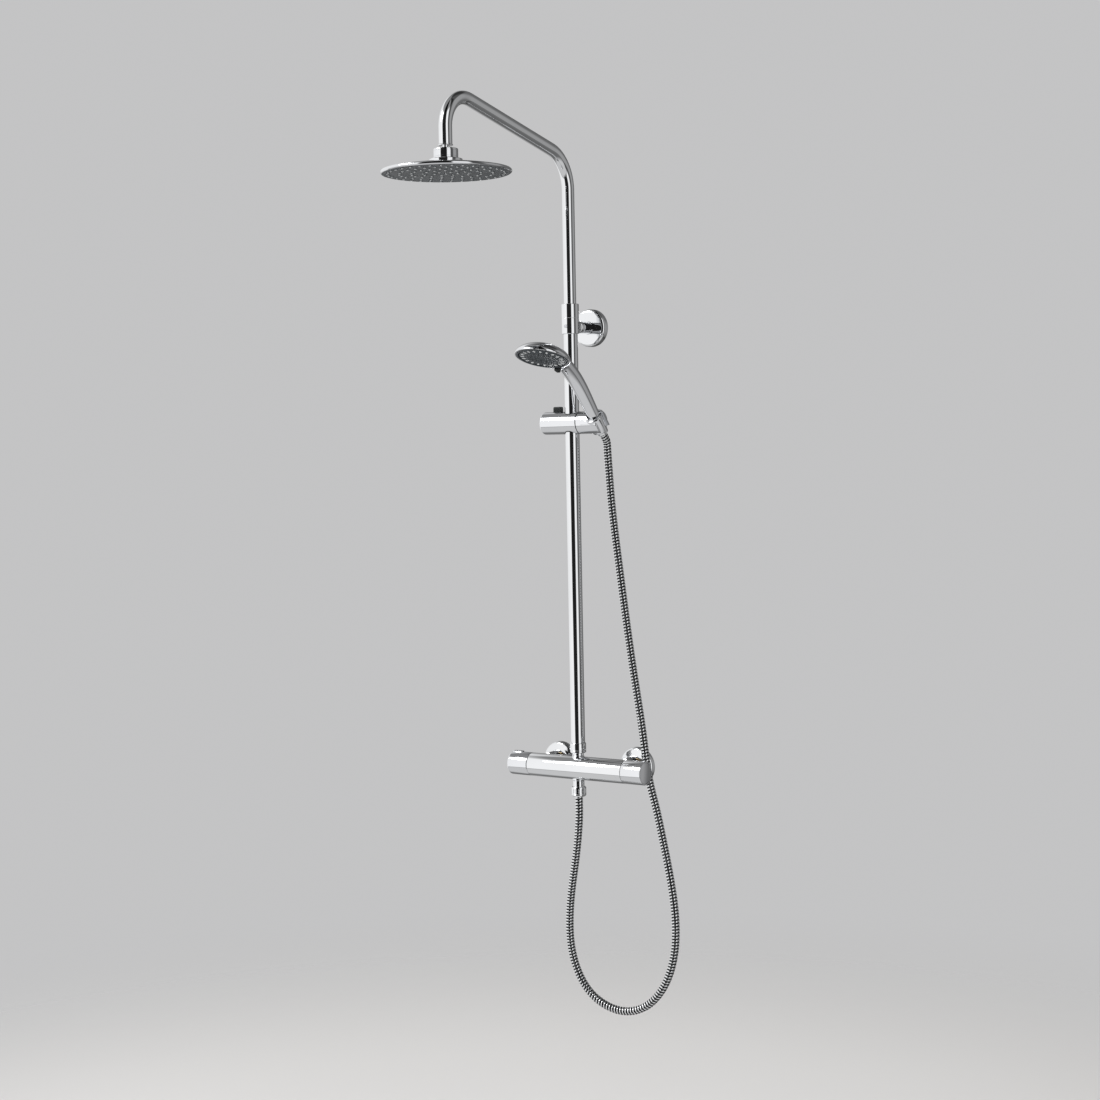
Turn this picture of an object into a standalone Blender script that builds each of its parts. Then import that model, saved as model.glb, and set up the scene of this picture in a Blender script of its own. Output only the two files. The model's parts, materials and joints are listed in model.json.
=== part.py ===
"""Rainfall shower column: bar valve, riser, wall bracket, swing arm with overhead head,
sliding handset holder, handset and hose.

Frame: the origin is on the wall plane, midway between the two inlets at the height of the
bar's axis. +Z is up, +Y points into the wall and +X is to the right of somebody facing it.
All sizes below are in millimetres; the helpers turn them into Blender's metres.
"""
import math

import bmesh
import bpy
import numpy as np
from mathutils import Matrix, Vector

MM = 0.001
MERGE = 0.00001
GAP = 0.3
ROUND_STEPS = 12
FINE_STEPS = 20
BALL_STEPS = 16

# Bar valve
BAR_Y = -65.0
BAR_RADIUS = 19.0
BODY_HALF = 90.0
CARTRIDGE_BORE = 15.0
CARTRIDGE_DEPTH = 50.0
WATERWAY = 5.0
PORT_RADIUS = 8.3
LEFT_KNOB_END = 130.0
RIGHT_KNOB_END = 127.5
INLET_X = 75.0

# Riser, bracket and arm
RISER_Y = BAR_Y
LOWER_OUTER = 11.5
LOWER_BORE = 10.5
UPPER_OUTER = 10.0
UPPER_BORE = 8.8
RISER_BOTTOM = 28.5
RISER_TOP = 727.0
COLLAR_BOTTOM = 702.0
COLLAR_TOP = 750.0
POST_Z = 714.0
ARM_FOOT = 490.0
ARM_RISE = math.radians(12.6)
FIRST_BEND = 62.0
SECOND_BEND = 50.0
ARM_PEAK_Z = 1041.0
HEAD_Y = -390.0
ARM_END = 967.0

# Overhead head
BALL_Z = 952.0
BALL_RADIUS = 9.0
HEAD_FACE_Z = 924.0
NOZZLE_RINGS = ((36.0, 8), (74.0, 16))

# Slider and handset
SLIDER_Z = 559.5
SLIDER_RADIUS = 18.2
SLIDER_LEFT = 53.0
SLIDER_RIGHT = 15.9
CRADLE_X = 48.0
CRADLE_END = 57.0
LEAN = math.radians(42.0)
FACE_CENTRE = (48.0, -218.0, 656.0)
FACE_TILT = math.radians(18.0)
HANDLE_ROUTE = ((-81.7, 578.1), (-104.0, 603.0), (-128.0, 627.0), (-156.0, 648.0), (-185.0, 661.0))

# Hose
HOSE_RADIUS = 6.5
HOSE_POINTS = 50
HOSE_ROUTE = (
    (48.0, -48.7, 541.4), (48.0, -40.7, 532.5), (46.8, -34.5, 517.0), (46.0, -30.5, 490.0),
    (48.0, -28.0, 440.0), (58.0, -25.5, 340.0), (71.0, -25.0, 240.0), (85.0, -25.0, 145.0),
    (99.0, -25.0, 56.0), (111.0, -25.0, -23.0), (122.0, -26.0, -62.0), (135.0, -28.0, -112.0),
    (149.0, -31.0, -170.0), (158.5, -34.0, -222.0), (161.0, -37.0, -270.0),
    (155.0, -40.0, -312.0), (137.5, -43.0, -352.0), (108.0, -45.5, -382.0),
    (74.0, -48.0, -394.0), (38.0, -51.0, -389.0), (9.0, -54.0, -371.0), (-12.0, -57.0, -340.0),
    (-23.0, -60.0, -300.0), (-24.5, -62.0, -254.0), (-19.0, -63.5, -205.0),
    (-9.0, -64.5, -150.0), (-2.0, -65.0, -100.0), (0.0, -65.0, -66.0), (0.0, -65.0, -48.3))

X, Y, Z = Vector((1, 0, 0)), Vector((0, 1, 0)), Vector((0, 0, 1))
BAR_CENTRE = Vector((0, BAR_Y, 0))
RISER = Vector((0, RISER_Y, 0))
HEAD = Vector((0, HEAD_Y, 0))
BALL = Vector((0, HEAD_Y, BALL_Z))
SLIDER = Vector((0, RISER_Y, SLIDER_Z))
CRADLE = Vector((CRADLE_X, RISER_Y, SLIDER_Z))
HANDSET_AXIS = Vector((0, -math.sin(LEAN), math.cos(LEAN)))
FACE = Vector(FACE_CENTRE)
FACE_UP = Vector((0, math.sin(FACE_TILT), math.cos(FACE_TILT)))
FACE_REAR = Vector((0, math.cos(FACE_TILT), -math.sin(FACE_TILT)))


# ---------------------------------------------------------------- collections and materials

def clear_scene():
    for obj in list(bpy.data.objects):
        bpy.data.objects.remove(obj)
    parts = bpy.data.collections.new("rainfall_shower_column")
    tools = bpy.data.collections.new("cutters")
    bpy.context.scene.collection.children.link(parts)
    bpy.context.scene.collection.children.link(tools)
    return parts, tools


PARTS, TOOLS = clear_scene()


def material(name, colour, roughness, metallic):
    mat = bpy.data.materials.new(name)
    mat.use_nodes = True
    shader = mat.node_tree.nodes["Principled BSDF"]
    shader.inputs["Base Color"].default_value = (*colour, 1.0)
    shader.inputs["Roughness"].default_value = roughness
    shader.inputs["Metallic"].default_value = metallic
    return mat


CHROME = material("chrome", (0.78, 0.79, 0.80), 0.06, 1.0)
BRASS = material("brass", (0.72, 0.55, 0.25), 0.35, 1.0)
STEEL = material("steel", (0.60, 0.61, 0.62), 0.30, 1.0)
DARK_FACE = material("dark_face", (0.07, 0.075, 0.08), 0.45, 0.0)
PALE_NOZZLE = material("pale_nozzle", (0.72, 0.73, 0.73), 0.50, 0.0)
RUBBER = material("rubber", (0.02, 0.02, 0.02), 0.80, 0.0)
PLASTIC = material("white_plastic", (0.80, 0.80, 0.78), 0.50, 0.0)
BLACK_PLASTIC = material("black_plastic", (0.03, 0.03, 0.035), 0.40, 0.0)
RED_PLASTIC = material("red_plastic", (0.55, 0.05, 0.04), 0.40, 0.0)
BLUE_PLASTIC = material("blue_plastic", (0.05, 0.12, 0.50), 0.40, 0.0)


# ---------------------------------------------------------------- modelling helpers

def add_object(name, mesh, mat):
    obj = bpy.data.objects.new(name, mesh)
    PARTS.objects.link(obj)
    if mat is not None:
        mesh.materials.append(mat)
    return obj


def place(obj, where, axis=Z):
    """Put the object's origin at a point in millimetres, with its +Z along an axis."""
    obj.location = Vector(where) * MM
    obj.rotation_mode = "QUATERNION"
    obj.rotation_quaternion = Z.rotation_difference(Vector(axis))
    return obj


def as_tool(obj):
    PARTS.objects.unlink(obj)
    TOOLS.objects.link(obj)
    obj.hide_render = True
    obj.display_type = "WIRE"
    return obj


def arc(radius_centre, height_centre, radius, start, end, count):
    """Points (radius, height) on an arc; angles in degrees from the outward direction."""
    turns = [math.radians(start + (end - start) * i / count) for i in range(count + 1)]
    return [(radius_centre + radius * math.cos(t), height_centre + radius * math.sin(t)) for t in turns]


def turned(name, outline, where, axis, mat, steps=ROUND_STEPS):
    """Turned piece: its outline runs down the outer side, and closes unless it ends on the axis."""
    points = [(r * MM, 0.0, h * MM) for r, h in outline]
    edges = [(i, i + 1) for i in range(len(points) - 1)]
    if outline[0][0] > 0:
        edges.append((len(points) - 1, 0))
    mesh = bpy.data.meshes.new(name)
    mesh.from_pydata(points, edges, [])
    obj = place(add_object(name, mesh, mat), where, axis)
    screw = obj.modifiers.new("Turn", "SCREW")
    screw.steps = steps
    screw.render_steps = steps
    screw.use_merge_vertices = True
    screw.merge_threshold = MERGE
    return obj


def ring(name, outer, inner, low, high, where, axis, mat, steps=ROUND_STEPS):
    return turned(name, [(outer, high), (outer, low), (inner, low), (inner, high)], where, axis, mat, steps)


def disc(name, radius, low, high, where, axis, mat, steps=ROUND_STEPS):
    return turned(name, [(0, high), (radius, high), (radius, low), (0, low)], where, axis, mat, steps)


def block(name, size, where, mat, rounding=0.0, axis=Z):
    """Box with its middle at a point, and its long edges along the row's axes unless turned."""
    mesh = bpy.data.meshes.new(name)
    box = bmesh.new()
    bmesh.ops.create_cube(box, size=1.0, matrix=Matrix.Diagonal((*(Vector(size) * MM), 1.0)))
    box.to_mesh(mesh)
    box.free()
    obj = place(add_object(name, mesh, mat), where, axis)
    if rounding > 0:
        bevel = obj.modifiers.new("Rounding", "BEVEL")
        bevel.width = rounding * MM
        bevel.segments = 2
    return obj


def hexagon(name, across_flats, low, high, where, axis, mat):
    mesh = bpy.data.meshes.new(name)
    prism = bmesh.new()
    radius = across_flats / 2 / math.cos(math.pi / 6) * MM
    middle = Matrix.Translation((0, 0, (low + high) / 2 * MM))
    bmesh.ops.create_cone(prism, cap_ends=True, segments=6, radius1=radius, radius2=radius,
                          depth=(high - low) * MM, matrix=middle)
    prism.to_mesh(mesh)
    prism.free()
    return place(add_object(name, mesh, mat), where, axis)


def boolean(obj, tool, operation):
    step = obj.modifiers.new(operation.title(), "BOOLEAN")
    step.operation = operation
    step.object = as_tool(tool)
    return obj


def cut(obj, tool):
    return boolean(obj, tool, "DIFFERENCE")


def join(obj, tool):
    return boolean(obj, tool, "UNION")


def sweep(name, points, radius, mat, resolution=2, radii=None):
    """Round bar along points in millimetres, as a curve object with filled caps."""
    curve = bpy.data.curves.new(name, "CURVE")
    curve.dimensions = "3D"
    curve.bevel_depth = radius * MM
    curve.bevel_resolution = resolution
    curve.use_fill_caps = True
    spline = curve.splines.new("POLY")
    spline.points.add(len(points) - 1)
    for i, point in enumerate(points):
        spline.points[i].co = (*(Vector(point) * MM), 1.0)
        spline.points[i].radius = 1.0 if radii is None else radii[i]
    curve.materials.append(mat)
    obj = bpy.data.objects.new(name, curve)
    PARTS.objects.link(obj)
    return obj


def as_mesh(obj):
    """Replace a curve by its mesh with welded caps, so that it can be cut and joined."""
    bpy.context.view_layer.update()
    name = obj.name
    evaluated = obj.evaluated_get(bpy.context.evaluated_depsgraph_get())
    mesh = bpy.data.meshes.new_from_object(evaluated)
    welded = bmesh.new()
    welded.from_mesh(mesh)
    bmesh.ops.remove_doubles(welded, verts=welded.verts, dist=MERGE)
    welded.to_mesh(mesh)
    welded.free()
    place_matrix = obj.matrix_world.copy()
    bpy.data.objects.remove(obj)
    solid = bpy.data.objects.new(name, mesh)
    solid.matrix_world = place_matrix
    PARTS.objects.link(solid)
    return solid


def smooth_route(points, count, start=None, end=None):
    """Points at even steps on a cubic spline through the given ones, with set end directions."""
    given = np.array(points)
    steps = np.linalg.norm(np.diff(given, axis=0), axis=1)
    at = np.concatenate(([0.0], np.cumsum(steps)))
    size = len(given)
    slopes = np.diff(given, axis=0) / steps[:, None]
    system = np.eye(size)
    right = np.zeros((size, 3))
    for i in range(1, size - 1):
        system[i, i - 1:i + 2] = steps[i - 1], 2 * (steps[i - 1] + steps[i]), steps[i]
        right[i] = 6 * (slopes[i] - slopes[i - 1])
    if start is not None:
        system[0, :2] = 2 * steps[0], steps[0]
        right[0] = 6 * (slopes[0] - np.array(start))
    if end is not None:
        system[-1, -2:] = steps[-1], 2 * steps[-1]
        right[-1] = 6 * (np.array(end) - slopes[-1])
    bend = np.linalg.solve(system, right)
    result = []
    for s in np.linspace(0.0, at[-1], count):
        i = min(int(np.searchsorted(at, s, side="right")) - 1, size - 2)
        h = steps[i]
        a, b = at[i + 1] - s, s - at[i]
        value = (bend[i] * a ** 3 + bend[i + 1] * b ** 3) / (6 * h)
        value += (given[i] / h - bend[i] * h / 6) * a + (given[i + 1] / h - bend[i + 1] * h / 6) * b
        result.append(tuple(value))
    return result


def hose_points():
    """Straight out of both fittings, with one smooth curve between."""
    top = (Vector(HOSE_ROUTE[1]) - Vector(HOSE_ROUTE[0])).normalized()
    bottom = (Vector(HOSE_ROUTE[-1]) - Vector(HOSE_ROUTE[-2])).normalized()
    middle = smooth_route(HOSE_ROUTE[1:-1], HOSE_POINTS, top, bottom)
    return [HOSE_ROUTE[0]] + middle + [HOSE_ROUTE[-1]]


def pivot(name, where):
    empty = bpy.data.objects.new(name, None)
    empty.location = Vector(where) * MM
    PARTS.objects.link(empty)
    return empty


def attach(empty, *pieces):
    """Parent pieces to an unturned pivot and keep them where they are."""
    for piece in pieces:
        piece.parent = empty
        piece.location = piece.location - empty.location


# ---------------------------------------------------------------- bar valve

def valve_body():
    outline = [(BAR_RADIUS - 0.8, BODY_HALF), (BAR_RADIUS, BODY_HALF - 0.8),
               (BAR_RADIUS, 0.8 - BODY_HALF), (BAR_RADIUS - 0.8, -BODY_HALF),
               (CARTRIDGE_BORE, -BODY_HALF), (CARTRIDGE_BORE, CARTRIDGE_DEPTH - BODY_HALF),
               (WATERWAY, CARTRIDGE_DEPTH - BODY_HALF), (WATERWAY, BODY_HALF - CARTRIDGE_DEPTH),
               (CARTRIDGE_BORE, BODY_HALF - CARTRIDGE_DEPTH), (CARTRIDGE_BORE, BODY_HALF)]
    body = turned("valve_body", outline, BAR_CENTRE, X, CHROME, FINE_STEPS)
    for side in (-1, 1):
        inlet = Vector((side * INLET_X, 0, 0))
        tail = [(0, 49.0), (10.0, 49.0), (10.0, 36.6), (12.0, 36.6), (12.0, 33.6), (0, 33.6)]
        join(body, turned(f"inlet_tail_{side}", tail, inlet, -Y, None))
        cut(body, disc(f"inlet_bore_{side}", 7.0, 30.0, 60.0, inlet, -Y, None, 20))
    port = [(0, 26.0), (PORT_RADIUS, 26.0), (PORT_RADIUS, 10.0), (4.0, 10.0),
            (4.0, -10.0), (PORT_RADIUS, -10.0), (PORT_RADIUS, -26.0), (0, -26.0)]
    cut(body, turned("ports", port, BAR_CENTRE, Z, None))
    return body


def cartridge(name, axis, mat):
    """Insert with a shoulder, a narrow nose and a splined spindle bored for the knob's screw."""
    outline = [(2.3, 104.0), (4.0, 104.0), (4.0, 88.0), (14.6, 88.0), (14.6, 62.0), (12.5, 60.0),
               (12.5, 44.0), (0, 44.0), (0, 94.0), (2.3, 94.0)]
    inner = outline[8:] + outline[:8]
    return turned(name, inner, BAR_CENTRE, axis, mat)


def knob(name, axis, end, rounding, cap_radius):
    """Cup that fits over the spindle, with a screw hole and a recess for its cap."""
    floor = end - 3.0
    outline = [(cap_radius, end)]
    outline += arc(BAR_RADIUS - rounding, end - rounding, rounding, 90, 0, 3)
    outline += [(BAR_RADIUS, 91.0), (BAR_RADIUS - 0.6, 90.4), (16.0, 90.4), (16.0, 98.0),
                (4.4, 98.0), (4.4, 107.0), (2.3, 107.0), (2.3, 115.0), (5.0, 115.0),
                (5.0, floor), (cap_radius, floor)]
    return turned(name, outline, BAR_CENTRE, axis, CHROME, FINE_STEPS)


def knob_screw(name, axis):
    outline = [(0, 118.5), (4.2, 118.5), (4.2, 115.3), (2.0, 115.3), (2.0, 96.0), (0, 96.0)]
    return turned(name, outline, BAR_CENTRE, axis, STEEL, 16)


def temperature_control():
    body = knob("temperature_knob", -X, LEFT_KNOB_END, 3.5, 10.0)
    middle = Vector((-118.0, BAR_Y, 0))
    cut(body, block("button_pocket", (18.6, 9.6, 12.0), middle + Z * 17.0, None))
    cap = disc("temperature_knob_cap", 9.7, LEFT_KNOB_END - 2.7, LEFT_KNOB_END - 0.4,
               BAR_CENTRE, -X, CHROME)
    screw = knob_screw("temperature_knob_screw", -X)
    button = block("stop_button", (18.0, 9.0, 6.6), middle + Z * 17.2, CHROME, 1.0)
    attach(pivot("temperature_pivot", BAR_CENTRE), body, cap, screw, button)


def flow_control():
    body = knob("flow_knob", X, RIGHT_KNOB_END, 0.7, 17.2)
    cap = disc("flow_knob_cap", 16.9, RIGHT_KNOB_END - 2.7, RIGHT_KNOB_END - 0.3,
               BAR_CENTRE, X, CHROME, FINE_STEPS)
    screw = knob_screw("flow_knob_screw", X)
    attach(pivot("flow_pivot", BAR_CENTRE), body, cap, screw)


def inlet(side, x, mark):
    """Everything between the bar's tail and the wall; heights are distances from the wall."""
    centre = Vector((x, 0, 0))
    nut = hexagon(side + "_inlet_nut", 30.0, 18.5, 43.0, centre, -Y, CHROME)
    bore = [(0, 46.0), (10.5, 46.0), (10.5, 37.0), (13.4, 37.0), (13.4, 16.0), (0, 16.0)]
    cut(nut, turned(side + "_nut_bore", bore, centre, -Y, None))
    union = [(13.0, 30.4), (13.0, 15.0), (12.0, 15.0), (12.0, 0.5), (10.3, 0.5),
             (10.3, -12.0), (7.0, -12.0), (7.0, 30.4)]
    turned(side + "_eccentric_union", union, centre, -Y, BRASS)
    dome = [(13.4, 12.0), (18.5, 11.6), (24.0, 10.0)] + arc(26.0, 4.5, 4.7, 60, 0, 3)
    turned(side + "_escutcheon", dome + [(30.7, 0), (13.4, 0)], centre, -Y, CHROME, FINE_STEPS)
    ring(side + "_filter_washer", 12.6, 5.0, 30.7, 33.3, centre, -Y, RUBBER)
    valve = [(6.6, 46.0), (6.6, 36.0), (5.8, 36.0), (5.8, 34.0), (2.5, 34.0), (2.5, 46.0)]
    turned(side + "_check_valve", valve, centre, -Y, mark, 20)


def hose_outlet():
    """Stub, washer, nut and crimped ferrule under the bar; heights run downwards."""
    spigot = [(10.0, 39.0), (10.0, 30.4), (9.2, 30.0), (9.2, 20.8), (8.0, 20.4), (8.0, 10.4),
              (4.5, 10.4), (4.5, 39.0)]
    turned("hose_outlet_spigot", spigot, BAR_CENTRE, -Z, CHROME)
    ring("lower_hose_washer", 9.8, 4.5, 39.3, 41.1, BAR_CENTRE, -Z, RUBBER)
    nut = [(10.6, 46.0), (12.0, 44.0), (12.0, 31.2), (11.4, 30.5), (10.3, 30.5), (10.3, 43.0),
           (7.2, 43.0), (7.2, 46.0)]
    turned("lower_hose_nut", nut, BAR_CENTRE, -Z, CHROME)
    ferrule = [(6.9, 48.0), (6.9, 42.7), (9.8, 42.7), (9.8, 41.4), (4.0, 41.4), (4.0, 48.0)]
    turned("lower_hose_ferrule", ferrule, BAR_CENTRE, -Z, CHROME)


# ---------------------------------------------------------------- riser and bracket

def riser_foot():
    spigot = [(9.9, 50.0), (9.9, 29.0), (9.0, 28.0), (9.0, 20.8), (8.0, 20.4), (8.0, 10.4),
              (4.5, 10.4), (4.5, 50.0)]
    turned("riser_spigot", spigot, RISER, Z, CHROME)
    collar = [(12.6, 41.0), (13.0, 40.6), (13.0, 26.0), (12.4, 25.4), (9.4, 25.4), (9.4, 28.0),
              (11.8, 28.0), (11.8, 41.0)]
    turned("riser_foot_collar", collar, RISER, Z, CHROME)
    ring("lower_riser_tube", LOWER_OUTER, LOWER_BORE, RISER_BOTTOM, RISER_TOP, RISER, Z, CHROME)


def wall_bracket():
    """Collar round the riser, post, flange cover and screwed wall plate."""
    post_line = Vector((0, 0, POST_Z))
    outline = [(13.6, COLLAR_TOP), (14.0, COLLAR_TOP - 0.4), (14.0, COLLAR_BOTTOM + 0.4),
               (13.6, COLLAR_BOTTOM), (11.8, COLLAR_BOTTOM), (11.8, RISER_TOP + 0.5),
               (10.4, RISER_TOP + 0.5), (10.4, COLLAR_TOP - 1.0), (11.4, COLLAR_TOP)]
    collar = turned("bracket_collar", outline, RISER, Z, CHROME)
    join(collar, disc("collar_boss", 10.0, 48.0, 52.6, post_line, -Y, None))
    cut(collar, disc("post_stud_hole", 4.3, 44.0, 52.9, post_line, -Y, None, 16))
    post = [(0, 52.0), (4.0, 52.0), (4.0, 47.6), (9.2, 47.6), (9.2, 45.4), (10.0, 44.8),
            (10.0, 5.5), (7.4, 5.5), (7.4, 17.0), (0, 17.0)]
    turned("bracket_post", post, post_line, -Y, CHROME)
    cover = [(10.4, 13.0), (26.0, 13.0)] + arc(26.0, 8.5, 4.5, 60, 0, 2)
    cover += [(30.5, 0), (29.0, 0), (29.0, 8.5), (25.5, 11.5), (10.4, 11.5)]
    turned("bracket_flange_cover", cover, post_line, -Y, CHROME, FINE_STEPS)
    plate = turned("bracket_wall_plate", [(0, 16.0), (7.0, 16.0), (7.0, 4.0), (27.0, 4.0),
                                          (27.0, 0), (0, 0)], post_line, -Y, STEEL)
    for name, x in (("wall_screw_left", -17.0), ("wall_screw_right", 17.0)):
        centre = post_line + X * x
        cut(plate, disc(name + "_hole", 2.7, -2.0, 6.0, centre, -Y, None, 16))
        screw = [(0, 7.0), (3.4, 6.6), (4.6, 4.3), (2.2, 4.3), (2.2, -14.0), (0, -18.0)]
        turned(name, screw, centre, -Y, STEEL, 16)


def arm_route():
    """Centreline of the arm: up the riser, a bend outwards, a rising run and a bend down."""
    def turn(y_centre, z_centre, radius, start, end, count):
        angles = [start + (end - start) * i / count for i in range(count + 1)]
        return [(0, y_centre - radius * math.sin(a), z_centre + radius * math.cos(a)) for a in angles]

    second_y = HEAD_Y + SECOND_BEND
    second_z = ARM_PEAK_Z - SECOND_BEND
    leave_y = second_y + SECOND_BEND * math.sin(ARM_RISE)
    leave_z = second_z + SECOND_BEND * math.cos(ARM_RISE)
    first_y = RISER_Y - FIRST_BEND
    corner_z = leave_z - (RISER_Y - leave_y) * math.tan(ARM_RISE)
    first_z = corner_z - FIRST_BEND * math.tan((math.pi / 2 - ARM_RISE) / 2)
    route = [(0, RISER_Y, ARM_FOOT)]
    route += turn(first_y, first_z, FIRST_BEND, -math.pi / 2, -ARM_RISE, 9)
    route += turn(second_y, second_z, SECOND_BEND, -ARM_RISE, math.pi / 2, 11)
    return route + [(0, HEAD_Y, ARM_END)]


def swing_arm():
    route = arm_route()
    arm = as_mesh(sweep("shower_arm", route, UPPER_OUTER, CHROME, 3))
    inside = [(0, RISER_Y, ARM_FOOT - 10)] + route[1:-1] + [(0, HEAD_Y, ARM_END - 10)]
    cut(arm, as_mesh(sweep("arm_bore", inside, UPPER_BORE, CHROME, 3)))
    guide = ring("telescope_guide", LOWER_BORE - GAP, 7.0, ARM_FOOT - 12.0, ARM_FOOT - 0.3, RISER, Z, PLASTIC)
    connector = [(8.0, 985.0), (8.0, ARM_END - GAP), (10.8, ARM_END - GAP), (10.8, 964.6),
                 (5.3, 964.6), (5.3, 985.0)]
    tip = turned("arm_end_connector", connector, HEAD, Z, CHROME)
    low = math.degrees(math.acos(3.2 / BALL_RADIUS))
    high = math.degrees(math.acos(5.0 / BALL_RADIUS))
    ball = [(5.0, 30.0)] + arc(0, 0, BALL_RADIUS, high, -low, 8) + [(3.2, 30.0)]
    swivel = turned("swivel_ball", ball, BALL, Z, CHROME, BALL_STEPS)
    attach(pivot("telescope_pivot", RISER), guide)
    attach(pivot("arm_pivot", RISER), arm, tip, swivel)


# ---------------------------------------------------------------- overhead head

def ball_seat():
    outer = arc(0, 0, BALL_RADIUS + 1.8, -10, -50, 4)
    inner = arc(0, 0, BALL_RADIUS + 0.4, -50, -10, 4)
    seat = turned("ball_seat_ring", outer + inner, BALL, Z, PLASTIC, BALL_STEPS)
    attach(pivot("ball_seat_pivot", BALL), seat)


def overhead_head():
    seat = BALL_RADIUS + 2.4
    upper = BALL_RADIUS + 0.45
    nut = [(17.6, 8.0), (18.2, 7.4), (18.2, -6.2), (17.7, -6.7), (15.3, -6.7), (15.3, -1.2)]
    nut += arc(0, 0, seat, -6.2, 7.8, 2) + arc(0, 0, upper, 9.2, 31.2, 4) + [(8.0, 8.0)]
    swivel_nut = turned("head_swivel_nut", nut, BALL, Z, CHROME, BALL_STEPS)
    base = [(15.0, -1.5), (15.0, -7.0), (24.0, -7.0), (24.5, -7.5), (24.5, -12.7), (4.5, -12.7)]
    base += arc(0, 0, seat, -66.0, -7.8, 6)
    head_base = turned("head_base", base, BALL, Z, CHROME, BALL_STEPS)
    shell = [(5.0, 939.0), (27.0, 938.6), (58.0, 935.6), (83.0, 931.6), (93.0, 929.4)]
    shell += arc(94.2, 926.6, 2.8, 60, -60, 4) + [(95.4, 924.0), (95.2, 926.6), (90.0, 928.6)]
    shell += [(58.0, 933.2), (27.0, 936.4), (5.0, 936.8)]
    head_shell = turned("head_shell", shell, HEAD, Z, CHROME, FINE_STEPS)
    plate = disc("face_plate", 94.8, HEAD_FACE_Z, HEAD_FACE_Z + 1.8, HEAD, Z, DARK_FACE, FINE_STEPS)
    mat_low = HEAD_FACE_Z + 2.1
    mat = disc("nozzle_mat", 87.0, mat_low, mat_low + 1.4, HEAD, Z, PALE_NOZZLE, FINE_STEPS)
    add_nozzles(plate, mat, mat_low)
    attach(pivot("head_pivot", BALL), swivel_nut, head_base, head_shell, plate, mat)


def add_nozzles(plate, mat, mat_low):
    """Soft nozzle tips on the mat, each through its own hole in the face plate."""
    for ring_number, (radius, count) in enumerate(NOZZLE_RINGS):
        for i in range(count):
            turn = 2 * math.pi * (i + 0.3) / count
            centre = HEAD + Vector((radius * math.cos(turn), radius * math.sin(turn), 0))
            label = f"{ring_number}_{i}"
            cut(plate, disc("nozzle_hole_" + label, 2.1, HEAD_FACE_Z - 1, mat_low, centre, Z, None, 5))
            tip = [(0, mat_low + 0.7), (1.6, mat_low + 0.7), (1.2, HEAD_FACE_Z - 1.4), (0, HEAD_FACE_Z - 1.4)]
            join(mat, turned("nozzle_tip_" + label, tip, centre, Z, None, 5))


# ---------------------------------------------------------------- slider and cradle

def slider():
    bush = ring("slider_bush", 12.6, LOWER_OUTER + GAP, -14.0, 14.0, SLIDER, Z, PLASTIC)
    cut(bush, block("bush_window", (10.5, 28.0, 10.6), SLIDER - X * 8.75, None))
    attach(pivot("bush_pivot", SLIDER), bush)

    outline = [(0, 17.0), (12.0, 17.0), (12.0, SLIDER_LEFT), (14.6, SLIDER_LEFT)]
    outline += arc(SLIDER_RADIUS - 3.2, SLIDER_LEFT - 3.2, 3.2, 60, 0, 2)
    outline += [(SLIDER_RADIUS, 0.6 - SLIDER_RIGHT), (SLIDER_RADIUS - 0.6, -SLIDER_RIGHT), (0, -SLIDER_RIGHT)]
    body = turned("slider_body", outline, SLIDER, -X, CHROME, FINE_STEPS)
    cut(body, disc("riser_hole", 13.0, -20.0, 20.0, SLIDER, Z, None, FINE_STEPS))
    cut(body, block("pad_channel", (10.0, 10.0, 10.0), SLIDER - X * 15.5, None))
    cut(body, block("button_slot", (15.6, 10.6, 16.0), SLIDER + Vector((-26.5, 0, 16.0)), None))
    cut(body, disc("axle_thread", 3.3, 11.0, 18.0, SLIDER, X, None, 16))
    cap = disc("slider_end_cap", 11.7, SLIDER_LEFT - 3.0, SLIDER_LEFT - 0.4, SLIDER, -X, CHROME)
    pad = block("lock_pad", (9.6, 9.4, 9.4), SLIDER - X * 16.9, BLACK_PLASTIC)
    washer = ring("friction_washer", 15.5, 4.0, 16.2, 17.0, SLIDER, X, BLACK_PLASTIC)
    axle = [(0, 29.0), (5.5, 29.0), (5.5, 25.3), (3.0, 25.3), (3.0, 13.3), (0, 13.3)]
    screw = turned("cradle_axle_screw", axle, SLIDER, X, STEEL, 16)
    spring = button_spring()
    attach(pivot("slider_pivot", SLIDER), body, cap, pad, washer, screw, spring)

    button = block("slider_button", (15.0, 10.0, 17.0), SLIDER + Vector((-26.5, 0, 18.0)),
                   BLACK_PLASTIC, 1.4)
    attach(pivot("button_pivot", SLIDER + Vector((-26.5, 0, 18.0))), button)


def button_spring():
    turns, per_turn, radius = 4, 8, 3.2
    low, high = -11.0, 8.6
    points = []
    for i in range(turns * per_turn + 1):
        angle = 2 * math.pi * i / per_turn
        height = low + (high - low) * i / (turns * per_turn)
        points.append(SLIDER + Vector((-28.0 + radius * math.cos(angle), radius * math.sin(angle), height)))
    return sweep("slider_button_spring", points, 0.5, STEEL, 1)


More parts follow.
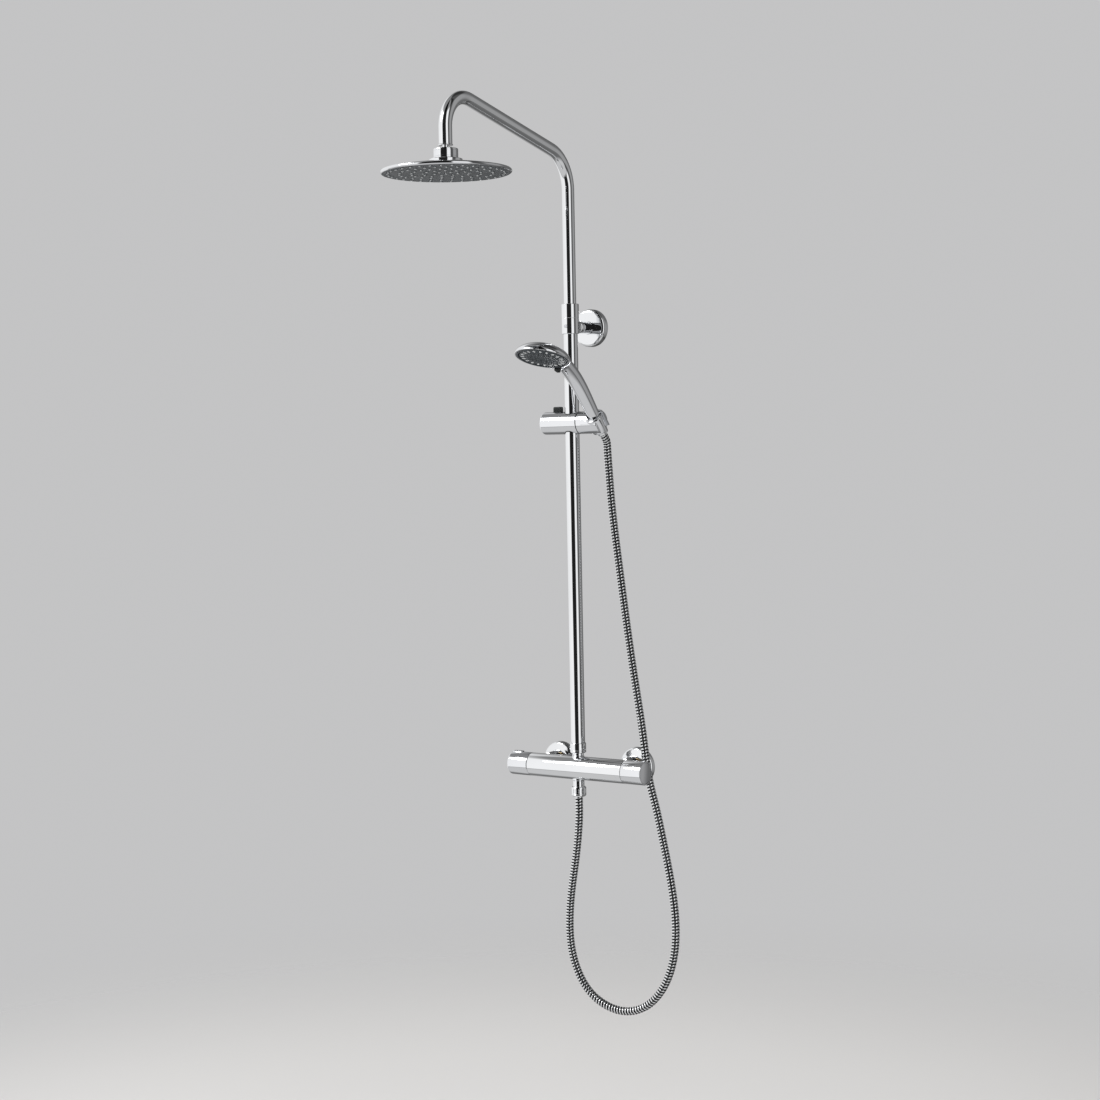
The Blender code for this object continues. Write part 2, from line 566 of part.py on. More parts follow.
def cradle():
    """Stub cylinder with a leaning, slotted ring that grips the hose's conical nut."""
    outline = [(0, CRADLE_END), (SLIDER_RADIUS - 1.2, CRADLE_END), (SLIDER_RADIUS, CRADLE_END - 1.2),
               (SLIDER_RADIUS, 17.9), (SLIDER_RADIUS - 0.6, 17.3), (0, 17.3)]
    body = turned("cradle", outline, SLIDER, X, CHROME, FINE_STEPS)
    grip = [(0, 14.0), (15.2, 14.0), (16.0, 13.2), (16.0, -13.2), (15.2, -14.0), (0, -14.0)]
    join(body, turned("grip", grip, CRADLE, HANDSET_AXIS, None, 22))
    taper = [(0, 20.0), (12.5, 20.0), (10.1, -22.0), (0, -22.0)]
    cut(body, turned("grip_taper", taper, CRADLE, HANDSET_AXIS, None, 26))
    cut(body, block("grip_slot", (20.0, 16.0, 44.0), CRADLE + X * 10.0, None, 0.0, HANDSET_AXIS))
    axle_hole = [(0, 42.0), (5.9, 42.0), (5.9, 25.0), (3.3, 25.0), (3.3, 16.0), (0, 16.0)]
    cut(body, turned("axle_hole", axle_hole, SLIDER, X, None, 20))
    attach(pivot("cradle_pivot", SLIDER), body)


# ---------------------------------------------------------------- handset

def handset_shell():
    """Handle along its route, joined to the domed head and hollow from tail to chamber."""
    shoulder = CRADLE + HANDSET_AXIS * 14.3
    route = [tuple(shoulder)] + [(CRADLE_X, y, z) for y, z in HANDLE_ROUTE]
    inner_end = FACE + FACE_UP * 11.0 + FACE_REAR * 12.0
    count = 11
    points = smooth_route(route + [tuple(inner_end)], count)
    waist = [0.88 + 0.22 * math.sin(math.pi * i / count) for i in range(count)]
    shell = as_mesh(sweep("handset_shell", points, 11.0, CHROME, 2, waist))
    dome = [(0, 21.0), (12.0, 20.4), (24.0, 18.2), (34.0, 13.8), (40.5, 8.6), (43.4, 4.0),
            (44.0, 0.0), (0, 0.0)]
    join(shell, turned("head_dome", dome, FACE, FACE_UP, None, FINE_STEPS))
    tail = [(0, 20.0), (8.4, 20.0), (8.4, 0), (0, 0)]
    join(shell, turned("threaded_tail", tail, CRADLE, HANDSET_AXIS, None))
    channel = smooth_route([tuple(CRADLE - HANDSET_AXIS)] + route + [tuple(inner_end - FACE_UP * 4)], count)
    cut(shell, as_mesh(sweep("handset_channel", channel, 5.0, CHROME, 1)))
    recess = [(0, 9.0), (34.0, 9.0), (34.0, 4.2), (41.5, 4.2), (41.5, -2.0), (0, -2.0)]
    cut(shell, turned("face_recess", recess, FACE, FACE_UP, None, FINE_STEPS))
    return shell


def handset():
    shell = handset_shell()
    face = [(0, 3.6), (36.6, 3.6), (36.6, 0.6), (35.2, 0.0), (34.2, 1.4), (26.0, 1.4), (25.4, 0.4), (0, 0.0)]
    spray_face = turned("spray_face", face, FACE, FACE_UP, DARK_FACE, FINE_STEPS)
    nozzles = ring("spray_nozzle_ring", 33.8, 26.4, -0.6, 1.1, FACE, FACE_UP, PALE_NOZZLE, FINE_STEPS)
    nut = [(11.2, 14.0), (11.8, 13.4), (11.75, 12.0), (9.75, -22.0), (7.2, -22.0), (7.2, -5.9),
           (8.7, -5.9), (8.7, 14.0)]
    cone_nut = turned("hose_cone_nut", nut, CRADLE, HANDSET_AXIS, CHROME)
    washer = ring("upper_hose_washer", 8.4, 4.2, -3.0, -0.3, CRADLE, HANDSET_AXIS, RUBBER)
    ferrule = [(8.4, -3.3), (8.4, -5.6), (6.9, -5.6), (6.9, -24.0), (4.0, -24.0), (4.0, -3.3)]
    upper_ferrule = turned("upper_hose_ferrule", ferrule, CRADLE, HANDSET_AXIS, CHROME)
    attach(pivot("handset_pivot", CRADLE), shell, spray_face, nozzles, cone_nut, washer, upper_ferrule)

    selector = ring("selector_ring", 40.6, 37.4, -0.8, 3.8, FACE, FACE_UP, CHROME, FINE_STEPS)
    lever = FACE + FACE_REAR * 44.0 - FACE_UP * 3.0
    join(selector, block("selector_lever", (7.0, 10.0, 5.0), lever, None, 1.0, FACE_UP))
    attach(pivot("selector_pivot", FACE), selector)


# ---------------------------------------------------------------- assembly

def main():
    valve_body()
    cartridge("thermostatic_cartridge", -X, BRASS)
    cartridge("flow_cartridge", X, BRASS)
    temperature_control()
    flow_control()
    inlet("hot", -INLET_X, RED_PLASTIC)
    inlet("cold", INLET_X, BLUE_PLASTIC)
    hose_outlet()
    riser_foot()
    wall_bracket()
    swing_arm()
    ball_seat()
    overhead_head()
    slider()
    cradle()
    handset()
    sweep("shower_hose", hose_points(), HOSE_RADIUS, CHROME, 2)


main()
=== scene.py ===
"""Rainfall shower column: the looks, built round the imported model.

Frame as in the model: origin on the wall plane between the inlets at the bar's axis, +Z up, +Y
into the wall. Sizes are in millimetres, and the helpers turn them into metres.
"""
import json
import math

import bmesh
import bpy
import numpy as np
from mathutils import Matrix, Vector

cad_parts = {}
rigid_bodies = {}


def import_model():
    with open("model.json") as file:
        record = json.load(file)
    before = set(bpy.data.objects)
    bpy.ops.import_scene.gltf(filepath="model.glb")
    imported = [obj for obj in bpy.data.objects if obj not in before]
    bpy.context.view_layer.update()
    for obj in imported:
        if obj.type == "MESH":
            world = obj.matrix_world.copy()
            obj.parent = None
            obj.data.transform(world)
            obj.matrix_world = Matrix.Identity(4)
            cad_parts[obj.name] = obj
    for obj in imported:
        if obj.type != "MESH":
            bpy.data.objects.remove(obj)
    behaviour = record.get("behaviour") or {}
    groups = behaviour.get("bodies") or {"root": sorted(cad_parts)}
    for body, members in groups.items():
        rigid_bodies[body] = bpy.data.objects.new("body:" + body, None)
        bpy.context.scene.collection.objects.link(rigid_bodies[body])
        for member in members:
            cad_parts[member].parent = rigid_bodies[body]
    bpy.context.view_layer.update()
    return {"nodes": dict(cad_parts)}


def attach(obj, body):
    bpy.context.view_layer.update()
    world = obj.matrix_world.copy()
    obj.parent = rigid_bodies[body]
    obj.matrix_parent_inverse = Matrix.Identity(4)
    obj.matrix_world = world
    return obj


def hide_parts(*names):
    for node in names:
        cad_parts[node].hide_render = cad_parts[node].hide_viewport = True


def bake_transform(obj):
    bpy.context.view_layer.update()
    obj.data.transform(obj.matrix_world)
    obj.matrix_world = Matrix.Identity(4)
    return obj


for old in list(bpy.data.objects):
    bpy.data.objects.remove(old)

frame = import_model()

MM = 0.001
CUT = "DIFFERENCE"
X, Y, Z = Vector((1, 0, 0)), Vector((0, 1, 0)), Vector((0, 0, 1))

BAR_Y = -65
BAR_RADIUS = 19
BODY_HALF = 90
LEFT_END, RIGHT_END = 130, 127.5
INLET_X = 75
POST_Z = 714
HEAD_Y = -390
BALL_Z = 952
SLIDER_Z = 559.5
SLIDER_RADIUS = 18.2
SLIDER_LEFT, SLIDER_RIGHT = 53, 15.9
LEAN = math.radians(42)
FACE_TILT = math.radians(18)

BAR = Vector((0, BAR_Y, 0))
HEAD = Vector((0, HEAD_Y, 0))
BALL = Vector((0, HEAD_Y, BALL_Z))
SLIDER = Vector((0, BAR_Y, SLIDER_Z))
KEY = SLIDER - X * 26.5
CRADLE = Vector((48, BAR_Y, SLIDER_Z))
GRIP_AXIS = Vector((0, -math.sin(LEAN), math.cos(LEAN)))
FACE = Vector((48, -218, 656))
FACE_UP = Vector((0, math.sin(FACE_TILT), math.cos(FACE_TILT)))
FACE_REAR = Vector((0, math.cos(FACE_TILT), -math.sin(FACE_TILT)))



def put(name, data):
    obj = bpy.data.objects.new(name, data)
    bpy.context.scene.collection.objects.link(obj)
    return obj


# ---------------------------------------------------------------- camera


def make_camera():
    yaw, pitch, roll = math.radians(33.95), math.radians(-2.70), math.radians(-1.08)
    ahead = Vector((-math.sin(yaw) * math.cos(pitch), math.cos(yaw) * math.cos(pitch), math.sin(pitch)))
    side = Vector((math.cos(yaw), math.sin(yaw), 0))
    over = side.cross(ahead)
    right = side * math.cos(roll) + over * math.sin(roll)
    top = over * math.cos(roll) - side * math.sin(roll)
    data = bpy.data.cameras.new("camera")
    data.lens = 65.41
    data.sensor_width = 36
    camera = put("camera", data)
    place = Matrix((right, top, -ahead)).transposed().to_4x4()
    place.translation = Vector((1.7692, -2.7638, 0.5073))
    camera.matrix_world = place
    bpy.context.scene.camera = camera


make_camera()

# ---------------------------------------------------------------- materials


def new_material(name, colour, rough, metal=0):
    mat = bpy.data.materials.new(name)
    mat.use_nodes = True
    shader = mat.node_tree.nodes["Principled BSDF"]
    shader.inputs["Base Color"].default_value = (*colour, 1)
    shader.inputs["Roughness"].default_value = rough
    shader.inputs["Metallic"].default_value = metal
    return mat, mat.node_tree, shader


def add_node(tree, kind, **values):
    """New shader node with set inputs; an underscore stands for a space in an input's name."""
    node = tree.nodes.new("ShaderNode" + kind)
    for name, value in values.items():
        node.inputs[name.replace("_", " ")].default_value = value
    return node


def noise_of(tree, scale, detail=3, stretch=(1, 1, 1), rough=0.5):
    where = add_node(tree, "TexCoord")
    mapping = add_node(tree, "Mapping", Scale=stretch)
    noise = add_node(tree, "TexNoise", Scale=scale, Detail=detail, Roughness=rough)
    tree.links.new(where.outputs["Object"], mapping.inputs["Vector"])
    tree.links.new(mapping.outputs["Vector"], noise.inputs["Vector"])
    return noise.outputs["Fac"]


def spread(tree, value, low, high, start=0.3, end=0.7):
    """Map the part of a value between start and end to a range."""
    node = add_node(tree, "MapRange", From_Min=start, From_Max=end, To_Min=low, To_Max=high)
    tree.links.new(value, node.inputs["Value"])
    return node.outputs["Result"]


def ramp(tree, value, low, high, start=0.35, end=0.65):
    node = tree.nodes.new("ShaderNodeValToRGB")
    node.color_ramp.elements[0].position = start
    node.color_ramp.elements[0].color = (*low, 1)
    node.color_ramp.elements[1].position = end
    node.color_ramp.elements[1].color = (*high, 1)
    tree.links.new(value, node.inputs["Fac"])
    return node.outputs["Color"]


def bump(tree, shader, height, strength, distance, under=None):
    node = add_node(tree, "Bump", Strength=strength, Distance=distance)
    tree.links.new(height, node.inputs["Height"])
    if under is not None:
        tree.links.new(under, node.inputs["Normal"])
    tree.links.new(node.outputs["Normal"], shader.inputs["Normal"])
    return node.outputs["Normal"]


def chrome_material(name, colour, low, high, wave):
    """Polished plate: smears in the gloss, a faint tint, a slow waviness and a fine grain."""
    mat, tree, shader = new_material(name, colour, low, 1)
    smear = noise_of(tree, 28, 4, (1, 1, 0.35), 0.55)
    tree.links.new(spread(tree, smear, low, high, 0.42, 0.72), shader.inputs["Roughness"])
    tint = noise_of(tree, 9, 2)
    deep = tuple(c * 0.955 for c in colour)
    tree.links.new(ramp(tree, tint, deep, colour), shader.inputs["Base Color"])
    slow = bump(tree, shader, noise_of(tree, 22, 1), wave, 0.0006)
    bump(tree, shader, noise_of(tree, 420, 2), 0.02, 0.0001, slow)
    return mat


def grained(name, colour, rough, grain_scale, grain, metal=0, contrast=0.8, stretch=(1, 1, 1)):
    mat, tree, shader = new_material(name, colour, rough, metal)
    soft = noise_of(tree, 55, 3, stretch)
    dark = tuple(c * contrast for c in colour)
    tree.links.new(ramp(tree, soft, dark, colour), shader.inputs["Base Color"])
    tree.links.new(spread(tree, noise_of(tree, 130, 2, stretch), rough * 0.85, min(rough * 1.2, 1)),
                   shader.inputs["Roughness"])
    bump(tree, shader, noise_of(tree, grain_scale, 2, stretch), grain, 0.0002)
    return mat


PLATED = {
    "chrome": ((0.86, 0.87, 0.885), 0.02, 0.055, 0.04),
    "chromed_plastic": ((0.83, 0.84, 0.86), 0.03, 0.07, 0.07),
    "hose_metal": ((0.86, 0.87, 0.88), 0.05, 0.12, 0.02),
}
GRAINED = {
    "brass": ((0.75, 0.56, 0.26), 0.30, 900, 0.15, 1, 0.85, (1, 1, 6)),
    "steel": ((0.62, 0.63, 0.66), 0.28, 700, 0.20, 1, 0.85, (1, 6, 1)),
    "dark_face": ((0.058, 0.070, 0.080), 0.30, 1500, 0.25),
    "pale_nozzle": ((0.78, 0.80, 0.81), 0.45, 1200, 0.10, 0, 0.93),
    "rubber": ((0.025, 0.025, 0.027), 0.75, 1400, 0.35),
    "white_plastic": ((0.80, 0.80, 0.77), 0.42, 1200, 0.10, 0, 0.95),
    "black_plastic": ((0.018, 0.021, 0.021), 0.32, 1600, 0.30),
    "red_plastic": ((0.55, 0.05, 0.04), 0.38, 1200, 0.10),
    "blue_plastic": ((0.05, 0.12, 0.50), 0.38, 1200, 0.10),
}
MATERIALS = {name: chrome_material(name, *look) for name, look in PLATED.items()}
MATERIALS.update((name, grained(name, *look)) for name, look in GRAINED.items())
# Near-black dark metal for the hose faces in the grooves between the ribs: painted shade in the grooves.
HOSE_GROOVE_SHADE = grained("hose_groove_shade", (0.022, 0.024, 0.026), 0.45, 900, 0.10, 0.6)

# ---------------------------------------------------------------- mesh helpers


def new_piece(name, mesh, slot, body, stands_for=None, sharp=32):
    """Finish a mesh as a piece of the object: shading, finish, body and the node it stands for."""
    mesh.shade_smooth()
    mesh.set_sharp_from_angle(angle=math.radians(sharp))
    mesh.materials.clear()
    mesh.materials.append(MATERIALS[slot])
    obj = put(name, mesh)
    if body is not None:
        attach(obj, body)
    if stands_for is not None:
        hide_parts(stands_for)
    return obj


def stored(shape, name, outward=True):
    """Edit mesh to mesh data, with its faces turned outward first if asked."""
    if outward:
        bmesh.ops.recalc_face_normals(shape, faces=shape.faces)
    data = bpy.data.meshes.new(name)
    shape.to_mesh(data)
    shape.free()
    return data


def skin(mesh, rings, capped=True):
    """Faces between neighbouring rings of points, and over both ends if capped."""
    for one, two in zip(rings, rings[1:]):
        for k in range(len(one)):
            m = (k + 1) % len(one)
            mesh.faces.new((one[k], one[m], two[m], two[k]))
    if capped:
        mesh.faces.new(list(reversed(rings[0])))
        mesh.faces.new(rings[-1])


def softened(outline, size, count=3):
    """Round every clear corner of a closed outline (radius, height) by up to a size."""
    result = []
    number = len(outline)
    for i in range(number):
        before = Vector(outline[i - 1])
        here = Vector(outline[i])
        after = Vector(outline[(i + 1) % number])
        a, b = before - here, after - here
        if here.x < 1e-6 or a.length < 1e-6 or b.length < 1e-6 or abs(a.angle(b) - math.pi) < 0.35:
            result.append(tuple(here))
            continue
        reach = min(size, a.length * 0.45, b.length * 0.45)
        start, end = here + a.normalized() * reach, here + b.normalized() * reach
        for k in range(count + 1):
            t = k / count
            point = start * (1 - t) ** 2 + here * 2 * t * (1 - t) + end * t * t
            result.append((point.x, point.y))
    return result


def arc(cr, ch, radius, start, end, count):
    turns = [math.radians(start + (end - start) * i / count) for i in range(count + 1)]
    return [(cr + radius * math.cos(t), ch + radius * math.sin(t)) for t in turns]


def circle(radius, count, shift=0):
    """Even places (x, y) on a circle, the first one turned on by a share of a step."""
    turns = [math.tau * (i + shift) / count for i in range(count)]
    return [(radius * math.cos(t), radius * math.sin(t)) for t in turns]


def axis_matrix(where, axis):
    place = Z.rotation_difference(Vector(axis).normalized()).to_matrix().to_4x4()
    place.translation = Vector(where) * MM
    return place


def lathe_mesh(name, outline, where, axis, steps=96, soften=0.35):
    """Closed outline (radius, height) in millimetres, turned about an axis. Points on the axis weld."""
    if soften > 0:
        outline = softened(outline, soften)
    mesh = bmesh.new()
    place = axis_matrix(where, axis)
    columns = []
    angles = [math.tau * k / steps for k in range(steps)]
    for r, h in outline:
        if r < 1e-6:
            columns.append([mesh.verts.new(place @ Vector((0, 0, h * MM)))])
        else:
            turned = [Vector((r * MM * math.cos(a), r * MM * math.sin(a), h * MM)) for a in angles]
            columns.append([mesh.verts.new(place @ point) for point in turned])
    number = len(columns)
    for i in range(number):
        one, two = columns[i], columns[(i + 1) % number]
        if len(one) == 1 and len(two) == 1:
            continue
        for k in range(steps):
            m = (k + 1) % steps
            if len(one) == 1:
                corners = [one[0], two[m], two[k]]
            elif len(two) == 1:
                corners = [one[k], one[m], two[0]]
            else:
                corners = [one[k], one[m], two[m], two[k]]
            mesh.faces.new(corners)
    return stored(mesh, name)


def lathe(name, outline, where, axis, slot, body, stands_for=None, steps=96, soften=0.35):
    new_piece(name, lathe_mesh(name, outline, where, axis, steps, soften), slot, body, stands_for)


def ring_outline(outer, inner, low, high):
    return [(outer, high), (outer, low), (inner, low), (inner, high)]


def disc_outline(radius, low, high):
    return [(0, high), (radius, high), (radius, low), (0, low)]


def block_mesh(name, size, where, rounding, axis=Z):
    mesh = bmesh.new()
    bmesh.ops.create_cube(mesh, size=1, matrix=Matrix.Diagonal((*(Vector(size) * MM), 1)))
    if rounding > 0:
        bmesh.ops.bevel(mesh, geom=list(mesh.edges), offset=rounding * MM, segments=4,
                        profile=0.5, affect="EDGES")
    mesh.transform(axis_matrix(where, axis))
    return stored(mesh, name, False)


def block(name, size, where, rounding, slot, body, stands_for=None, axis=Z):
    new_piece(name, block_mesh(name, size, where, rounding, axis), slot, body, stands_for, 40)


def frames_along(points):
    """Tangents and two side directions carried along a route without twist."""
    points = [Vector(p) for p in points]
    tangents = []
    for i in range(len(points)):
        a, b = points[max(i - 1, 0)], points[min(i + 1, len(points) - 1)]
        tangents.append((b - a).normalized())
    side = tangents[0].orthogonal().normalized()
    sides = []
    for i, tangent in enumerate(tangents):
        if i:
            side = tangents[i - 1].rotation_difference(tangent) @ side
            side = (side - tangent * side.dot(tangent)).normalized()
        sides.append((side.copy(), tangent.cross(side)))
    return points, tangents, sides


def tube_mesh(name, points, radius, steps, bore=None):
    """Round tube along points in millimetres; radius is a number or one for each point."""
    points, tangents, sides = frames_along(points)
    mesh = bmesh.new()
    rings = []
    for i, point in enumerate(points):
        one, two = sides[i]
        row = []
        for k in range(steps):
            a = math.tau * k / steps
            r = radius if np.isscalar(radius) else float(radius[i])
            row.append(mesh.verts.new((point + one * (r * math.cos(a)) + two * (r * math.sin(a))) * MM))
        rings.append(row)
    skin(mesh, rings, bore is None)
    if bore is not None:
        for end, sign in ((0, 1), (-1, -1)):
            one, two = sides[end]
            lip = []
            for k in range(steps):
                a = math.tau * k / steps
                point = points[end] + one * (bore * math.cos(a)) + two * (bore * math.sin(a))
                lip.append(mesh.verts.new(point * MM))
            deep = [mesh.verts.new(v.co + tangents[end] * (sign * 12 * MM)) for v in lip]
            for k in range(steps):
                m = (k + 1) % steps
                mesh.faces.new((rings[end][k], rings[end][m], lip[m], lip[k]))
                mesh.faces.new((lip[k], lip[m], deep[m], deep[k]))
            mesh.faces.new(deep)
    return stored(mesh, name)


def carved(name, base, *steps):
    """Join to or cut from a mesh; each step is an operation and the other mesh."""
    obj = put(name, base)
    helpers = []
    for operation, other in steps:
        tool = put("tool", other)
        helpers.append(tool)
        step = obj.modifiers.new("step", "BOOLEAN")
        step.operation = operation
        step.solver = "EXACT"
        step.object = tool
    bpy.context.view_layer.update()
    shaped = obj.evaluated_get(bpy.context.evaluated_depsgraph_get())
    data = bpy.data.meshes.new_from_object(shaped)
    for helper in helpers:
        bpy.data.objects.remove(helper)
    bpy.data.objects.remove(obj)
    return data


def smooth_route(points, count, start=None, end=None):
    """Points at even steps on a cubic spline through the given ones, with set end directions."""
    given = np.array([tuple(p) for p in points], float)
    steps = np.linalg.norm(np.diff(given, axis=0), axis=1)
    at = np.concatenate(([0], np.cumsum(steps)))
    size = len(given)
    slopes = np.diff(given, axis=0) / steps[:, None]
    system, right = np.eye(size), np.zeros((size, 3))
    for i in range(1, size - 1):
        system[i, i - 1:i + 2] = steps[i - 1], 2 * (steps[i - 1] + steps[i]), steps[i]
        right[i] = 6 * (slopes[i] - slopes[i - 1])
    if start is not None:
        system[0, :2] = 2 * steps[0], steps[0]
        right[0] = 6 * (slopes[0] - np.array(start))
    if end is not None:
        system[-1, -2:] = steps[-1], 2 * steps[-1]
        right[-1] = 6 * (np.array(end) - slopes[-1])
    bend = np.linalg.solve(system, right)
    result = []
    for s in np.linspace(0, at[-1], count):
        i = min(int(np.searchsorted(at, s, side="right")) - 1, size - 2)
        h, a, b = steps[i], at[i + 1] - s, s - at[i]
        value = (bend[i] * a ** 3 + bend[i + 1] * b ** 3) / (6 * h)
        value += (given[i] / h - bend[i] * h / 6) * a + (given[i + 1] / h - bend[i + 1] * h / 6) * b
        result.append(value)
    return np.array(result)


# ---------------------------------------------------------------- hose

HOSE_RADIUS = 6.5
RIB_PITCH = 5
# Share of the full crest below which a hose face gets the painted groove shade.
GROOVE_SHADE_DEPTH = 0.84
HOSE_ROUTE = (
    (48, -48.7, 541.4), (48, -40.7, 532.5), (46.8, -34.5, 517), (46, -30.5, 490),
    (48, -28, 440), (58, -25.5, 340), (71, -25, 240), (85, -25, 145),
    (99, -25, 56), (111, -25, -23), (122, -26, -62), (135, -28, -112),
    (149, -31, -170), (158.5, -34, -222), (161, -37, -270),
    (155, -40, -312), (137.5, -43, -352), (108, -45.5, -382),
    (74, -48, -394), (38, -51, -389), (9, -54, -371), (-12, -57, -340),
    (-23, -60, -300), (-24.5, -62, -254), (-19, -63.5, -205),
    (-9, -64.5, -150), (-2, -65, -100), (0, -65, -66), (0, -65, -48.3))


def hose_line():
    """Even steps of a tenth of a rib along the whole hose, from the handset to the bar."""
    top = (Vector(HOSE_ROUTE[1]) - Vector(HOSE_ROUTE[0])).normalized()
    bottom = (Vector(HOSE_ROUTE[-1]) - Vector(HOSE_ROUTE[-2])).normalized()
    middle = smooth_route(HOSE_ROUTE[1:-1], 1200, top, bottom)
    rough = np.vstack((np.array(HOSE_ROUTE[0])[None], middle, np.array(HOSE_ROUTE[-1])[None]))
    at = np.concatenate(([0], np.cumsum(np.linalg.norm(np.diff(rough, axis=0), axis=1))))
    count = int(at[-1] / (RIB_PITCH / 10))
    even = np.linspace(0, at[-1], count + 1)
    return np.stack([np.interp(even, at, rough[:, c]) for c in range(3)], axis=1), even


def hose_pieces():
    line, at = hose_line()
    _, _, sides = frames_along([tuple(p) for p in line])
    steps = 22
    angles = np.linspace(0, math.tau, steps, endpoint=False)
    one = np.array([tuple(s[0]) for s in sides])
    two = np.array([tuple(s[1]) for s in sides])
    phase = (at[:, None] / RIB_PITCH - angles[None] / (math.tau)) % 1
    crest = np.abs(np.sin(math.pi * phase)) ** 0.6
    radius = HOSE_RADIUS - 1.25 + 1.25 * crest
    verts = line[:, None] + one[:, None] * (radius * np.cos(angles))[..., None] \
        + two[:, None] * (radius * np.sin(angles))[..., None]
    marks = [0, 84, 168, 252, at[-1]]
    cuts = [int(np.argmin(np.abs(at - m))) for m in marks]
    cuts[-1] = len(at) - 1
    ends = [tuple(line[c] * MM) for c in cuts]
    blends = [("handset_cradle", "handset", ends[1], ends[0]),
              ("slider", "handset_cradle", ends[2], ends[1]),
              ("slider_guide", "slider", ends[3], ends[2]),
              ("root", "slider_guide", (0.1, -0.025, -0.04), ends[3])]
    names = ("hose_at_handset", "hose_at_cradle", "hose_at_slider", "hose_long_run")
    for name, start, end, blend in zip(names, cuts, cuts[1:], blends):
        rows = verts[start:end + 1] * MM
        count = len(rows)
        faces = [(i + k, i + (k + 1) % steps, i + steps + (k + 1) % steps, i + steps + k)
                 for i in range(0, (count - 1) * steps, steps) for k in range(steps)]
        faces.append(tuple(reversed(range(steps))))
        faces.append(tuple((count - 1) * steps + k for k in range(steps)))
        mesh = bpy.data.meshes.new(name)
        mesh.from_pydata(rows.reshape(-1, 3).tolist(), [], faces)
        piece = new_piece(name, mesh, "hose_metal", None, "shower_hose", 50)
        # Faces in the grooves between the ribs get the near-black second material: painted shade in the
        # grooves.
        mesh.materials.append(HOSE_GROOVE_SHADE)
        groove_shade = (crest[start:end + 1] < GROOVE_SHADE_DEPTH).tolist()
        for number in range((count - 1) * steps):
            if groove_shade[number // steps][number % steps]:
                mesh.polygons[number].material_index = 1
        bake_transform(piece)


hose_pieces()

# ---------------------------------------------------------------- bar valve


def threaded_mesh(name, radius, depth, pitch, low, high, where, axis, point=0):
    """Screw thread between two heights, with a plain or pointed end."""
    per_turn, per_pitch = 40, 8
    count = int((high - low) / pitch * per_pitch)
    mesh = bmesh.new()
    place = axis_matrix(where, axis)
    rings = []
    for i in range(count + 1):
        h = low + (high - low) * i / count
        row = []
        for k in range(per_turn):
            a = math.tau * k / per_turn
            wave = abs(2 * ((h / pitch - k / per_turn) % 1) - 1)
            r = radius - depth * wave
            if point > 0:
                r *= min(1, 0.12 + (high - h) / point)
            row.append(mesh.verts.new(place @ (Vector((r * math.cos(a), r * math.sin(a), h)) * MM)))
        rings.append(row)
    skin(mesh, rings)
    return stored(mesh, name)


def valve_body():
    shape = lathe_mesh("bar", disc_outline(BAR_RADIUS, -BODY_HALF, BODY_HALF), BAR, X, 160, 0.8)
    steps = []
    for side in (-1, 1):
        inlet = Vector((side * INLET_X, 0, 0))
        tail = [(0, 60), (12.6, 60), (12.2, 47), (10, 45.5), (10, 36.6), (12, 36.6), (12, 33.6),
                (0, 33.6)]
        steps.append(("UNION", lathe_mesh("tail", tail, inlet, -Y, 72, 0.4)))
    for up in (1, -1):
        seat = [(0, 19.9), (9.2, 19.9), (10, 19.2), (10, 12), (0, 12)]
        steps.append(("UNION", lathe_mesh("seat", seat, BAR, Z * up, 72, 0.3)))
    new_piece("bar_body", carved("bar_body", shape, *steps), "chrome", "root", "valve_body", 30)


def knob(name, axis, end, rounding, cap_radius, body, pocket=None):
    floor = end - 2.8
    outline = [(0, floor), (cap_radius, floor), (cap_radius, end)]
    outline += arc(BAR_RADIUS - rounding, end - rounding, rounding, 90, 0, 8)
    outline += arc(BAR_RADIUS - 0.8, 91.2, 0.8, 0, -90, 3) + [(0, 90.4)]
    shape = lathe_mesh(name, outline, BAR, axis, 160, 0)
    if pocket is not None:
        shape = carved(name, shape, (CUT, pocket))
    new_piece(name + "_shell", shape, "chromed_plastic", body, name, 30)


def bar_controls():
    middle = Vector((-118, BAR_Y, 0))
    pocket = block_mesh("pocket", (18.6, 9.6, 12), middle + Z * 17, 1)
    knob("temperature_knob", -X, LEFT_END, 3.5, 10, "temperature_control", pocket)
    cap = [(0, LEFT_END - 0.15)] + arc(8.9, LEFT_END - 1.2, 0.8, 90, 0, 4) + [(9.7, LEFT_END - 2.7),
                                                                             (0, LEFT_END - 2.7)]
    lathe("temperature_cap", cap, BAR, -X, "chromed_plastic", "temperature_control",
          "temperature_knob_cap", 96, 0)
    block("stop_push", (18, 9, 6.6), middle + Z * 17.2, 1.2, "chromed_plastic", "safety_stop",
          "stop_button")
    for i in range(3):
        block(f"stop_rib_{i}", (0.7, 6.4, 0.7), middle + Z * 20.4 + X * (i * 2.4 - 2.4), 0.25,
              "chromed_plastic", "safety_stop")
    knob("flow_knob", X, RIGHT_END, 0.8, 17.2, "flow_control")
    cap = [(0, RIGHT_END - 0.3)] + arc(16.4, RIGHT_END - 0.8, 0.5, 90, 0, 3) + [(16.9, RIGHT_END - 2.7),
                                                                              (0, RIGHT_END - 2.7)]
    lathe("flow_cap", cap, BAR, X, "chromed_plastic", "flow_control", "flow_knob_cap", 128, 0)


